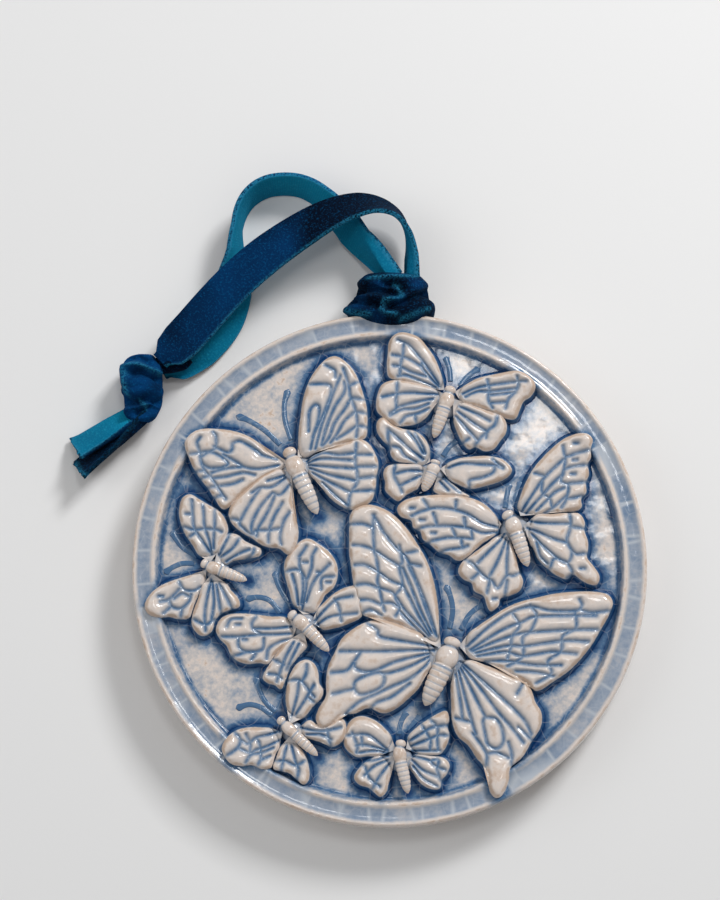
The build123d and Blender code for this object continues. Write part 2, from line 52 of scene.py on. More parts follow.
camera_lean = math.radians(5.5)
camera_side = math.radians(0.6)
camera_aim = Vector((-0.00508, 0.02077, face_centre.z))
lens_mm = 67.68
sensor_mm = 24.0

camera = bpy.data.objects.new("camera", bpy.data.cameras.new("camera"))
bpy.context.scene.collection.objects.link(camera)
camera.data.sensor_fit = "VERTICAL"
camera.data.sensor_height = sensor_mm
camera.data.lens = lens_mm
camera.data.clip_start = 0.01
camera.location = face_centre + camera_distance * Vector((
    math.sin(camera_side),
    -math.sin(camera_lean),
    math.cos(camera_lean),
))
backward = (camera.location - camera_aim).normalized()
rightward = Vector((0, 1, 0)).cross(backward).normalized()
camera.rotation_euler = Matrix((rightward, backward.cross(rightward), backward)).transposed().to_euler()
bpy.context.scene.camera = camera


# The nine butterfly reliefs: clay pressed by itself, stuck on the field with slip and glazed with the disc.
# Their outlines and the grooves between their cells were read on the photograph, in its pixels. Each
# wing is root, edge and grooves, a body is head, waist and tail, and the other sizes are in millimetres.
disc_radius = (face_high.x - face_low.x) / 2
field_height = 0.0072
relief_centre_px = np.array([389.7, 570.2])
disc_radius_px = 258.8


def relief_plan(pixels):
    """Pixels of the photograph as metres on the face: x to the right and y up from the disc's centre."""
    return (np.asarray(pixels, float) - relief_centre_px) * (1, -1) / disc_radius_px * disc_radius


butterflies = {
    "lower_right": dict(
        body=[(454, 641), (447, 661), (425, 709)], radius=1.6, spacing=0.3, rise=2.4,
        antennae=[
            [(450, 632), (453, 614), (451, 600), (446, 588)],
            [(461, 633), (469, 619), (478, 611), (487, 607)],
        ],
        wings=[
            ((441, 652), [
                (439, 640), (439, 620), (437, 600), (433, 581), (427, 564), (418, 548), (408, 533),
                (396, 520), (384, 512), (370, 508), (358, 510), (351, 518), (350, 530), (350, 544),
                (350, 557), (352, 571), (354, 586), (357, 602), (363, 618), (380, 622), (400, 628),
                (420, 637), (434, 645)], [
                [(374, 519), (385, 537), (397, 552), (407, 562), (415, 580), (426, 607), (437, 640)],
                [(407, 557), (418, 555)],
                [(411, 568), (421, 570)],
                [(351, 528), (364, 528), (375, 532)],
                [(353, 549), (364, 550), (375, 554)],
                [(355, 569), (366, 569), (379, 576)],
                [(357, 589), (367, 588), (380, 592)],
                [(360, 604), (370, 604), (382, 609)],
                [(361, 618), (371, 614), (382, 619)],
                [(375, 519), (374, 532), (375, 554), (377, 562), (379, 576), (378, 585), (380, 592),
                 (382, 602), (385, 615)],
                [(375, 554), (387, 562), (400, 570)],
                [(379, 576), (390, 584), (402, 589)],
                [(380, 592), (392, 596), (396, 600)],
                [(382, 607), (392, 607), (400, 612)],
                [(400, 550), (403, 565), (400, 571), (403, 589), (396, 600), (400, 612), (396, 620)],
                [(409, 570), (417, 587), (426, 612), (435, 637)],
                [(403, 572), (411, 590), (421, 615), (432, 637)],
                [(403, 589), (410, 602), (419, 620), (430, 639)],
                [(396, 600), (406, 615), (417, 627), (429, 640)],
                [(400, 615), (410, 626), (425, 640)],
            ]),
            ((439, 658), [
                (424, 640), (408, 632), (390, 626), (376, 624), (364, 627), (352, 634), (342, 643),
                (336, 655), (329, 670), (327, 685), (327, 699), (320, 711), (317, 722), (323, 731),
                (332, 728), (343, 718), (356, 716), (369, 711), (384, 716), (397, 711), (409, 701),
                (419, 691), (426, 678), (432, 667)], [
                [(368, 627), (378, 634), (380, 640), (397, 644), (434, 650)],
                [(340, 655), (362, 655), (385, 655), (415, 654), (434, 654)],
                [(355, 665), (357, 672), (372, 675), (397, 665), (430, 657)],
                [(382, 677), (392, 676), (410, 670), (430, 660)],
                [(377, 697), (392, 690), (410, 682), (425, 670), (432, 661)],
                [(355, 692), (356, 685), (367, 679), (381, 676), (385, 682), (381, 691), (367, 697),
                 (359, 697), (355, 692)],
                [(332, 676), (347, 674), (355, 665), (362, 655)],
                [(334, 697), (355, 692)],
                [(347, 716), (360, 705), (377, 697)],
                [(370, 714), (377, 706), (392, 700), (410, 687)],
            ]),
            ((459, 650), [
                (467, 640), (478, 630), (490, 622), (504, 613), (520, 606), (536, 602), (554, 598),
                (574, 596), (594, 596), (607, 599), (612, 607), (608, 619), (600, 633), (591, 648),
                (580, 662), (568, 674), (552, 685), (536, 694), (524, 685), (504, 673), (486, 666),
                (468, 660)], [
                [(467, 650), (490, 630), (510, 617), (530, 611), (550, 615), (575, 615), (581, 610),
                 (579, 604)],
                [(581, 615), (592, 617), (611, 615)],
                [(470, 654), (500, 635), (522, 626), (535, 621), (575, 620), (595, 620)],
                [(472, 655), (505, 642), (525, 637), (575, 634), (597, 634)],
                [(475, 657), (507, 650), (525, 650), (562, 645), (587, 646)],
                [(477, 660), (505, 656), (522, 660), (550, 656), (575, 658)],
                [(485, 665), (507, 665), (535, 669), (560, 669)],
                [(515, 675), (535, 676), (552, 680)],
                [(530, 610), (536, 620), (530, 635), (522, 642), (522, 660), (507, 670)],
                [(512, 617), (519, 630), (512, 640), (510, 652), (507, 662)],
                [(574, 615), (575, 632), (562, 640), (560, 655), (547, 665), (550, 677), (535, 687)],
            ]),
            ((456, 664), [
                (466, 664), (486, 669), (506, 677), (522, 684), (530, 693), (534, 705), (540, 716),
                (539, 730), (530, 744), (521, 759), (509, 770), (507, 783), (501, 796), (494, 799),
                (488, 791), (486, 773), (476, 760), (468, 748), (457, 738), (452, 724), (451, 705),
                (452, 683)], [
                [(460, 665), (485, 687), (505, 705), (522, 722), (530, 737)],
                [(459, 666), (480, 692), (497, 715), (510, 730), (522, 745)],
                [(459, 669), (472, 695), (482, 715), (485, 720)],
                [(457, 670), (465, 702), (472, 727), (475, 737)],
                [(455, 675), (460, 705), (462, 722)],
                [(484, 720), (495, 722), (501, 732), (502, 745), (495, 751), (487, 747), (484, 735),
                 (482, 725), (484, 720)],
                [(455, 721), (470, 725)],
                [(472, 736), (485, 755), (485, 767)],
                [(486, 756), (495, 755), (507, 760)],
                [(507, 745), (510, 755), (510, 767)],
                [(517, 730), (530, 742)],
                [(516, 697), (522, 687)],
            ]),
        ],
    ),
    "upper_left": dict(
        body=[(288, 450), (295, 468), (318, 518)], radius=1.3, spacing=0.26, rise=2.33,
        antennae=[
            [(291, 441), (285, 422), (284, 404), (288, 389)],
            [(280, 446), (264, 431), (248, 421), (235, 416)],
        ],
        wings=[
            ((290, 466), [
                (283, 464), (270, 455), (253, 441), (237, 434), (220, 431), (203, 431), (192, 435),
                (185, 443), (185, 451), (189, 461), (193, 470), (200, 481), (208, 491), (214, 500),
                (225, 512), (245, 495), (264, 481), (283, 470)], [
                [(214, 449), (227, 455), (232, 452), (233, 446), (241, 444), (255, 452), (263, 458),
                 (277, 462)],
                [(223, 457), (235, 464), (245, 470), (259, 472), (279, 468)],
                [(211, 476), (223, 472), (241, 470)],
                [(214, 481), (225, 480), (243, 476), (255, 478)],
                [(221, 489), (233, 487), (243, 483)],
                [(200, 460), (209, 455), (219, 458), (228, 466), (223, 470), (211, 471), (203, 467),
                 (200, 460)],
                [(190, 457), (200, 455), (214, 452), (216, 440), (213, 434)],
                [(200, 440), (197, 446), (200, 455)],
                [(200, 455), (201, 464), (205, 474), (211, 480), (217, 489), (223, 498), (226, 502)],
                [(193, 475), (205, 473)],
                [(200, 482), (211, 478)],
                [(207, 491), (218, 489)],
                [(214, 501), (223, 498)],
            ]),
            ((291, 474), [
                (282, 472), (263, 478), (247, 492), (235, 503), (229, 515), (232, 526), (243, 536),
                (252, 541), (262, 548), (271, 551), (280, 552), (289, 558), (296, 550), (299, 536),
                (296, 520), (293, 505), (292, 488)], [
                [(261, 491), (251, 506), (241, 524), (241, 530)],
                [(273, 496), (261, 510), (253, 526), (252, 538)],
                [(275, 500), (269, 514), (259, 532), (257, 540)],
                [(283, 506), (275, 520), (270, 534), (269, 546)],
                [(290, 516), (284, 526), (281, 540), (282, 548)],
                [(287, 480), (273, 490), (261, 491), (252, 496)],
                [(290, 488), (281, 498), (273, 496)],
                [(287, 478), (268, 484)],
                [(230, 522), (239, 524), (242, 530), (252, 538), (257, 534), (269, 534), (281, 532)],
            ]),
            ((298, 460), [
                (299, 452), (299, 433), (301, 417), (303, 402), (307, 388), (312, 377), (320, 366),
                (328, 359), (336, 357), (344, 361), (352, 369), (358, 379), (363, 393), (367, 408),
                (368, 424), (366, 440), (352, 445), (335, 448), (318, 454), (305, 460)], [
                [(325, 366), (335, 372), (336, 379)],
                [(310, 386), (330, 387), (331, 398), (324, 416), (315, 436), (311, 452)],
                [(309, 434), (310, 414), (316, 407), (320, 412), (318, 426), (313, 440)],
                [(341, 378), (335, 392), (329, 408), (322, 428), (316, 452)],
                [(345, 384), (345, 394), (335, 410), (327, 430), (322, 448)],
                [(352, 400), (345, 412), (335, 426), (330, 440), (323, 449)],
                [(356, 414), (345, 424), (337, 438), (331, 446)],
                [(358, 428), (347, 436), (337, 442)],
                [(344, 370), (349, 386), (351, 398), (356, 412), (358, 426), (357, 440)],
                [(349, 388), (358, 384)],
                [(352, 400), (364, 402)],
                [(356, 414), (367, 416)],
                [(358, 428), (368, 430)],
            ]),
            ((302, 467), [
                (309, 462), (323, 454), (342, 447), (360, 442), (370, 447), (377, 459), (379, 469),
                (377, 480), (376, 492), (372, 504), (362, 510), (351, 513), (338, 507), (328, 498),
                (319, 486), (309, 476)], [
                [(307, 464), (323, 456), (339, 458), (357, 456)],
                [(308, 466), (323, 462), (356, 464)],
                [(309, 468), (327, 470), (357, 472)],
                [(310, 471), (329, 478), (356, 484)],
                [(313, 476), (327, 484), (351, 496)],
                [(323, 486), (335, 498), (349, 510)],
                [(357, 446), (356, 464), (358, 476), (358, 486), (351, 498), (349, 512)],
                [(357, 458), (373, 458)],
                [(357, 470), (377, 470)],
                [(358, 482), (377, 480)],
                [(353, 495), (375, 494)],
            ]),
        ],
    ),
    "right": dict(
        body=[(506, 515), (514, 530), (528, 571)], radius=1.15, spacing=0.25, rise=2.26,
        antennae=[
            [(506, 511), (508, 498), (511, 486)],
            [(516, 510), (518, 497), (522, 484)],
        ],
        wings=[
            ((502, 528), [
                (499, 524), (493, 515), (484, 507), (473, 502), (459, 499), (443, 498), (428, 499),
                (413, 501), (402, 506), (398, 513), (402, 520), (412, 524), (414, 531), (421, 535),
                (424, 543), (432, 549), (440, 556), (450, 559), (457, 564), (466, 562), (482, 548),
                (497, 537)], [
                [(412, 520), (420, 516), (435, 512), (452, 513), (468, 518), (483, 527), (498, 531)],
                [(424, 503), (430, 513)],
                [(457, 505), (456, 514)],
                [(415, 535), (425, 531), (438, 530), (452, 530), (468, 532), (483, 537), (497, 536)],
                [(434, 517), (438, 529)],
                [(465, 522), (466, 531)],
                [(426, 549), (433, 545), (447, 542), (460, 542), (473, 543)],
                [(452, 530), (456, 540)],
                [(472, 533), (473, 543)],
                [(438, 558), (448, 554), (462, 552), (468, 550)],
                [(462, 543), (463, 552)],
                [(411, 512), (415, 512)],
                [(421, 524), (425, 524)],
                [(432, 537), (436, 537)],
            ]),
            ((506, 536), [
                (499, 540), (487, 548), (473, 558), (462, 567), (459, 576), (464, 583), (472, 587),
                (475, 595), (484, 600), (487, 609), (491, 615), (498, 610), (501, 602), (511, 599),
                (520, 594), (523, 585), (519, 574), (516, 560), (511, 547)], [
                [(478, 567), (490, 555), (500, 545), (505, 538)],
                [(490, 580), (497, 567), (503, 553), (507, 542)],
                [(507, 578), (507, 567), (508, 553), (509, 545)],
                [(463, 562), (473, 568), (479, 575), (485, 581), (492, 585), (498, 592), (507, 580),
                 (513, 580), (520, 577)],
                [(472, 583), (479, 577)],
                [(487, 597), (490, 585)],
                [(505, 600), (507, 585)],
                [(493, 603), (497, 603)],
            ]),
            ((521, 520), [
                (519, 513), (522, 498), (527, 486), (534, 473), (543, 462), (553, 452), (564, 443),
                (575, 438), (587, 437), (594, 443), (592, 452), (592, 461), (589, 468), (590, 478),
                (587, 486), (587, 496), (582, 503), (582, 511), (575, 515), (553, 516), (535, 518)], [
                [(564, 450), (567, 460), (578, 457), (590, 454)],
                [(565, 473), (577, 470), (588, 469)],
                [(568, 488), (587, 486)],
                [(567, 503), (575, 502), (583, 500)],
                [(567, 460), (565, 473), (562, 485), (569, 490), (567, 503), (562, 512)],
                [(565, 463), (555, 472), (545, 482), (537, 493), (527, 508), (523, 515)],
                [(535, 477), (545, 480)],
                [(564, 478), (553, 488), (545, 497), (535, 508), (527, 517)],
                [(565, 492), (555, 497), (547, 505), (537, 515)],
                [(567, 500), (558, 508), (552, 513), (545, 517)],
                [(543, 485), (543, 497), (550, 503), (553, 513)],
                [(575, 447), (579, 447)],
                [(574, 464), (578, 464)],
                [(572, 478), (576, 478)],
            ]),
            ((524, 530), [
                (535, 520), (553, 518), (569, 517), (580, 518), (585, 526), (585, 536), (588, 545),
                (588, 555), (587, 562), (593, 570), (599, 580), (596, 589), (584, 586), (574, 579),
                (566, 583), (556, 579), (547, 572), (539, 564), (534, 553), (529, 542)], [
                [(527, 524), (540, 527), (557, 528), (570, 528)],
                [(528, 532), (540, 537), (553, 543), (567, 547)],
                [(532, 538), (543, 550), (557, 562), (567, 567)],
                [(537, 547), (540, 560), (547, 568)],
                [(570, 517), (571, 530), (567, 545), (572, 557), (567, 567), (555, 563), (550, 572)],
                [(570, 531), (585, 533)],
                [(567, 547), (575, 558), (587, 558)],
                [(567, 567), (572, 577), (567, 582)],
                [(580, 573), (584, 573)],
            ]),
        ],
    ),
    "top": dict(
        body=[(453, 388), (449, 400), (435, 441)], radius=1.05, spacing=0.24, rise=2.19,
        antennae=[
            [(452, 382), (451, 369), (447, 356)],
            [(461, 387), (470, 376), (481, 368)],
        ],
        wings=[
            ((446, 392), [
                (444, 383), (440, 368), (435, 357), (428, 347), (421, 339), (413, 335), (403, 333),
                (395, 336), (390, 343), (389, 354), (388, 366), (390, 378), (403, 382), (420, 386),
                (438, 391)], [
                [(399, 341), (410, 346), (421, 359), (430, 371), (440, 386)],
                [(405, 345), (404, 355), (402, 365), (401, 376)],
                [(393, 356), (404, 358), (413, 362), (424, 369)],
                [(394, 367), (401, 368), (413, 374), (427, 378)],
                [(399, 378), (407, 377), (420, 382), (437, 389)],
                [(424, 362), (423, 369), (433, 381), (440, 388)],
            ]),
            ((445, 396), [
                (437, 391), (420, 385), (404, 382), (392, 382), (383, 386), (379, 394), (377, 404),
                (378, 413), (384, 419), (391, 424), (397, 428), (407, 428), (418, 426), (428, 419),
                (434, 409), (440, 400)], [
                [(398, 384), (398, 392), (397, 402), (397, 411), (391, 416)],
                [(383, 399), (398, 396), (413, 395), (427, 396), (439, 396)],
                [(397, 410), (411, 406), (424, 403), (434, 401)],
                [(391, 418), (403, 412), (417, 411), (430, 406)],
                [(401, 426), (407, 419), (419, 416), (430, 411)],
                [(417, 424), (416, 418)],
            ]),
            ((456, 394), [
                (462, 391), (473, 383), (483, 379), (497, 376), (508, 374), (519, 373), (529, 377),
                (536, 384), (537, 391), (532, 399), (525, 404), (521, 413), (517, 421), (508, 421),
                (493, 414), (478, 409), (462, 403)], [
                [(464, 396), (476, 391), (489, 388), (520, 384), (528, 384)],
                [(467, 399), (479, 394), (493, 394), (519, 391)],
                [(490, 398), (517, 395)],
                [(491, 406), (507, 405)],
                [(489, 382), (491, 392), (490, 402), (494, 411)],
                [(519, 379), (520, 388), (516, 395), (510, 402), (507, 411)],
            ]),
            ((454, 401), [
                (463, 405), (478, 409), (493, 415), (503, 418), (508, 427), (507, 436), (502, 443),
                (495, 452), (486, 454), (477, 450), (470, 452), (464, 446), (458, 434), (455, 420)], [
                [(461, 409), (476, 416), (491, 424)],
                [(459, 414), (473, 425), (487, 434)],
                [(457, 419), (470, 434), (479, 444)],
                [(499, 419), (496, 428), (489, 434), (487, 441)],
                [(489, 435), (481, 442), (476, 449)],
                [(464, 446), (470, 442)],
            ]),
        ],
    ),
    "lower_left": dict(
        body=[(280, 720), (289, 730), (319, 758)], radius=0.85, spacing=0.22, rise=2.12,
        antennae=[
            [(277, 714), (266, 704), (260, 692), (257, 680)],
            [(273, 718), (262, 710), (250, 707), (237, 711)],
        ],
        wings=[
            ((291, 727), [
                (290, 714), (287, 703), (288, 690), (291, 678), (298, 667), (307, 663), (315, 667),
                (319, 676), (320, 686), (324, 693), (322, 701), (314, 709), (303, 721)], [
                [(289, 684), (298, 683), (304, 686), (315, 700)],
                [(308, 668), (307, 677), (303, 685)],
                [(300, 685), (298, 700), (293, 718)],
                [(315, 688), (308, 700), (297, 717)],
                [(308, 700), (315, 705)],
            ]),
            ((297, 733), [
                (304, 728), (311, 723), (321, 729), (331, 727), (339, 720), (346, 725), (346, 738),
                (340, 746), (332, 749), (324, 745), (314, 742), (304, 738)], [
                [(302, 730), (315, 733), (328, 733), (342, 730)],
                [(308, 737), (322, 737), (332, 742)],
                [(328, 732), (330, 742), (332, 748)],
            ]),
            ((284, 734), [
                (274, 732), (263, 730), (250, 730), (238, 733), (229, 740), (224, 750), (227, 759),
                (234, 766), (244, 768), (254, 767), (264, 771), (273, 769), (276, 758), (281, 747)], [
                [(237, 735), (242, 742), (240, 750), (229, 758)],
                [(242, 742), (250, 746), (258, 740), (270, 737), (282, 733)],
                [(240, 750), (252, 755), (258, 752), (270, 748), (282, 742)],
                [(248, 765), (253, 757), (263, 755), (275, 750)],
                [(260, 767), (263, 762), (272, 758)],
                [(248, 737), (252, 746), (252, 755)],
                [(258, 740), (262, 748), (263, 762)],
            ]),
            ((291, 739), [
                (284, 747), (278, 759), (275, 770), (283, 773), (291, 775), (298, 781), (305, 786),
                (310, 781), (310, 769), (306, 757), (298, 747)], [
                [(288, 748), (285, 762), (283, 772)],
                [(293, 748), (297, 763), (300, 772), (298, 782)],
                [(278, 763), (287, 763), (297, 767), (306, 763)],
            ]),
        ],
    ),
    "upper_middle": dict(
        body=[(437, 463), (433, 476), (424, 495)], radius=0.95, spacing=0.22, rise=2.05,
        antennae=[
            [(444, 458), (451, 448), (462, 441)],
        ],
        wings=[
            ((431, 465), [
                (431, 456), (427, 443), (417, 434), (403, 431), (393, 426), (385, 419), (378, 424),
                (378, 434), (384, 443), (390, 449), (392, 458), (398, 464), (412, 466), (424, 468)], [
                [(389, 432), (399, 441), (411, 452), (424, 462)],
                [(409, 434), (417, 444), (424, 456)],
                [(416, 436), (423, 448), (426, 456)],
                [(391, 449), (400, 451), (406, 459), (417, 465)],
                [(389, 432), (389, 444), (391, 451)],
            ]),
            ((430, 474), [
                (423, 469), (408, 467), (395, 467), (387, 470), (384, 477), (386, 485), (386, 493),
                (391, 499), (399, 504), (407, 498), (414, 494), (420, 489)], [
                [(396, 468), (395, 479), (401, 491), (403, 496)],
                [(397, 477), (409, 474), (423, 474)],
                [(401, 489), (411, 484), (421, 479)],
            ]),
            ((441, 472), [
                (447, 468), (458, 462), (470, 460), (487, 459), (500, 461), (508, 466), (513, 473),
                (509, 480), (500, 485), (487, 489), (472, 492), (460, 488), (449, 481)], [
                [(449, 471), (463, 467), (481, 468), (496, 469), (504, 472)],
                [(496, 469), (494, 476), (484, 481), (471, 484), (470, 491)],
                [(494, 462), (497, 466), (504, 471)],
            ]),
            ((438, 481), [
                (444, 482), (453, 487), (463, 495), (470, 500), (455, 500), (441, 498), (434, 492)], [
                [(444, 481), (454, 491), (461, 496)],
                [(441, 485), (449, 494)],
            ]),
        ],
    ),
    "left": dict(
        body=[(202, 565), (213, 571), (248, 584)], radius=0.9, spacing=0.22, rise=1.98,
        antennae=[
            [(197, 559), (184, 551), (176, 542), (171, 533)],
            [(194, 566), (182, 566), (172, 570), (164, 576)],
        ],
        wings=[
            ((211, 566), [
                (201, 559), (193, 548), (186, 538), (181, 526), (179, 514), (182, 501), (190, 497),
                (199, 502), (209, 508), (219, 514), (226, 524), (228, 535), (222, 544), (217, 556)], [
                [(192, 503), (193, 518), (195, 532), (205, 547), (212, 557)],
                [(203, 507), (204, 518), (205, 530), (210, 545), (212, 555)],
                [(215, 513), (215, 528), (214, 542), (214, 552)],
                [(184, 530), (195, 533), (205, 532), (217, 533), (222, 535)],
                [(190, 540), (197, 535)],
                [(186, 517), (190, 517)],
            ]),
            ((215, 567), [
                (218, 555), (221, 545), (228, 537), (238, 538), (245, 544), (253, 548), (261, 552),
                (260, 559), (247, 562), (234, 564), (225, 568)], [
                [(230, 537), (225, 548), (220, 558)],
                [(240, 542), (233, 552), (222, 560)],
                [(250, 553), (240, 557), (227, 565)],
                [(255, 552), (253, 558), (247, 563)],
            ]),
            ((207, 573), [
                (203, 577), (193, 578), (182, 581), (170, 585), (160, 590), (151, 598), (146, 608),
                (149, 617), (159, 621), (170, 620), (179, 622), (190, 621), (195, 608), (200, 596),
                (206, 583)], [
                [(180, 585), (185, 593), (195, 594), (202, 590)],
                [(162, 605), (170, 603), (180, 593)],
                [(170, 603), (173, 610), (182, 612), (190, 605), (192, 598)],
                [(175, 602), (183, 597), (190, 600)],
                [(165, 617), (172, 610)],
                [(182, 620), (183, 612)],
                [(160, 600), (164, 600)],
            ]),
            ((213, 577), [
                (205, 586), (199, 602), (194, 616), (193, 628), (199, 637), (206, 639), (213, 634),
                (216, 624), (222, 617), (231, 613), (240, 610), (239, 602), (232, 594), (225, 586)], [
                [(207, 635), (206, 618), (208, 602), (212, 583)],
                [(213, 623), (215, 605), (213, 585)],
                [(222, 617), (220, 605), (217, 588)],
                [(233, 612), (227, 600), (220, 587)],
                [(195, 623), (207, 628), (215, 623)],
            ]),
        ],
    ),
    "middle_left": dict(
        body=[(290, 616), (304, 628), (330, 655)], radius=1.0, spacing=0.22, rise=1.91,
        antennae=[
            [(292, 609), (284, 598), (278, 586), (275, 574)],
            [(281, 616), (271, 604), (259, 600), (246, 602)],
        ],
        wings=[
            ((304, 618), [
                (296, 610), (290, 594), (286, 580), (285, 568), (289, 558), (299, 546), (309, 542),
                (320, 548), (330, 556), (337, 567), (338, 580), (334, 591), (326, 598), (321, 607),
                (314, 616)], [
                [(287, 575), (297, 573), (303, 578), (304, 593), (302, 608)],
                [(293, 578), (297, 593), (299, 608)],
                [(300, 562), (301, 573), (307, 585), (305, 602), (303, 612)],
                [(317, 552), (313, 560), (312, 572), (307, 585)],
                [(330, 568), (320, 578), (313, 588), (307, 605)],
                [(335, 580), (323, 582), (322, 593)],
                [(307, 550), (300, 560)],
                [(304, 566), (308, 566)],
                [(318, 576), (322, 576)],
                [(327, 586), (331, 586)],
            ]),
            ((312, 626), [
                (317, 616), (324, 607), (335, 597), (347, 591), (360, 590), (364, 606), (362, 620),
                (349, 627), (337, 631), (322, 632)], [
                [(315, 625), (327, 612), (338, 603), (353, 600)],
                [(318, 628), (332, 620), (357, 617)],
                [(335, 603), (340, 612), (342, 625)],
            ]),
            ((299, 627), [
                (288, 622), (272, 620), (257, 618), (243, 617), (230, 618), (221, 623), (217, 633),
                (221, 642), (228, 649), (232, 658), (239, 664), (249, 667), (260, 666), (269, 667),
                (275, 659), (284, 650), (294, 640)], [
                [(257, 620), (253, 627), (255, 633), (263, 638)],
                [(292, 630), (273, 632), (255, 632)],
                [(292, 637), (277, 638), (263, 638), (240, 640), (223, 640)],
                [(295, 642), (282, 645), (270, 652), (268, 662)],
                [(240, 640), (240, 650), (248, 655), (263, 653), (265, 642)],
                [(233, 660), (240, 658), (248, 655)],
                [(228, 630), (232, 623), (243, 622)],
                [(253, 663), (257, 657)],
                [(237, 628), (241, 628)],
                [(244, 643), (248, 643)],
            ]),
            ((305, 635), [
                (292, 642), (279, 655), (271, 667), (264, 680), (269, 686), (276, 688), (282, 692),
                (286, 684), (291, 671), (299, 660), (308, 648)], [
                [(295, 645), (287, 660), (282, 673), (278, 685)],
                [(300, 647), (293, 662), (288, 673)],
                [(275, 663), (285, 668)],
                [(270, 677), (278, 678), (283, 682)],
            ]),
        ],
    ),
    "bottom": dict(
        body=[(402, 742), (400, 757), (408, 795)], radius=0.95, spacing=0.22, rise=1.84,
        antennae=[
            [(399, 737), (401, 725), (407, 714)],
            [(409, 738), (413, 727), (421, 718)],
        ],
        wings=[
            ((396, 752), [
                (392, 742), (385, 731), (375, 723), (363, 719), (353, 722), (347, 731), (345, 746),
                (350, 754), (358, 759), (368, 758), (381, 757)], [
                [(348, 738), (357, 737), (370, 738), (388, 752)],
                [(357, 748), (365, 747), (388, 753)],
                [(362, 737), (363, 748)],
                [(353, 735), (358, 748), (357, 755)],
                [(360, 755), (375, 753), (388, 755)],
            ]),
            ((396, 758), [
                (381, 758), (368, 763), (360, 770), (355, 779), (360, 786), (369, 789), (375, 794),
                (381, 798), (387, 792), (389, 780), (391, 769)], [
                [(362, 762), (375, 762), (388, 758)],
                [(365, 777), (375, 768), (388, 762)],
                [(373, 790), (380, 778), (390, 765)],
                [(357, 767), (365, 768), (370, 780), (380, 788)],
            ]),
            ((406, 751), [
                (408, 741), (417, 730), (427, 723), (437, 717), (446, 714), (449, 722), (447, 729),
                (449, 738), (446, 748), (440, 756), (431, 757), (417, 755)], [
                [(410, 743), (420, 737), (432, 730), (447, 728)],
                [(412, 748), (425, 743), (438, 738), (447, 738)],
                [(412, 753), (428, 753), (440, 753)],
                [(430, 722), (437, 730), (437, 742), (438, 753)],
                [(422, 728), (430, 742), (430, 752)],
            ]),
            ((406, 759), [
                (416, 757), (430, 758), (443, 760), (449, 767), (446, 776), (441, 782), (439, 790),
                (430, 790), (421, 785), (414, 776), (409, 767)], [
                [(412, 758), (428, 762), (435, 768), (445, 772)],
                [(412, 762), (423, 772), (437, 778)],
                [(413, 768), (423, 780), (437, 788)],
                [(432, 762), (438, 762), (437, 772), (440, 782)],
            ]),
        ],
    ),
}


def unit(vectors):
    """Vectors scaled to length one, along their last axis."""
    return vectors / np.maximum(np.linalg.norm(vectors, axis=-1, keepdims=True), 1e-12)


def curve_through(points, closed=False, per_span=8):
    """A Catmull-Rom curve: each span is the cubic whose end slopes are half the distance between the
    neighbours on either side."""
    points = np.asarray(points, float)
    if closed:
        before, start, end, after = (np.roll(points, k, axis=0) for k in (1, 0, -1, -2))
    else:
        padded = np.vstack([2 * points[0] - points[1], points, 2 * points[-1] - points[-2]])
        before, start, end, after = padded[:-3], padded[1:-2], padded[2:-1], padded[3:]
    t = np.linspace(0, 1, per_span, endpoint=False)[None, :, None]
    before, start, end, after = (p[:, None, :] for p in (before, start, end, after))
    spans = start + 0.5 * t * (end - before + t * (2 * before - 5 * start + 4 * end - after
                               + t * (3 * (start - end) + after - before)))
    curve = spans.reshape(-1, points.shape[1])
    return curve if closed else np.vstack([curve, points[-1]])


def way_along(line):
    """The distance run from a line's start to each of its places."""
    return np.concatenate([[0], np.cumsum(np.linalg.norm(np.diff(line, axis=0), axis=1))])


def even_places(curve, spacing, closed=False):
    """Places a steady distance apart along a polyline."""
    line = np.vstack([curve, curve[:1]]) if closed else curve
    run = way_along(line)
    count = max(int(round(run[-1] / spacing)), 3)
    even = np.linspace(0, run[-1], count, endpoint=not closed)
    return np.stack([np.interp(even, run, line[:, k]) for k in range(line.shape[1])], 1)


def nearest_distance(points, targets):
    """The distance in plan from each point to the nearest of the targets."""
    tree = KDTree(len(targets))
    for i, (x, y) in enumerate(targets.tolist()):
        tree.insert((x, y, 0), i)
    tree.balance()
    return np.array([tree.find((x, y, 0))[2] for x, y in points.tolist()])


def closed_faces(rows, columns):
    """Faces of a tube of rings, with a fan at each end round the two centres that follow the rings."""
    ring = np.arange(columns)
    following = (ring + 1) % columns
    near = np.arange(rows - 1)[:, None] * columns
    far = near + columns
    quads = np.stack([near + ring, far + ring, far + following, near + following], -1)
    last = (rows - 1) * columns
    near_fan = np.stack([ring, following, np.full(columns, rows * columns)], 1)
    far_fan = np.stack([following + last, ring + last, np.full(columns, rows * columns + 1)], 1)
    return quads.reshape(-1, 4).tolist() + near_fan.tolist() + far_fan.tolist()


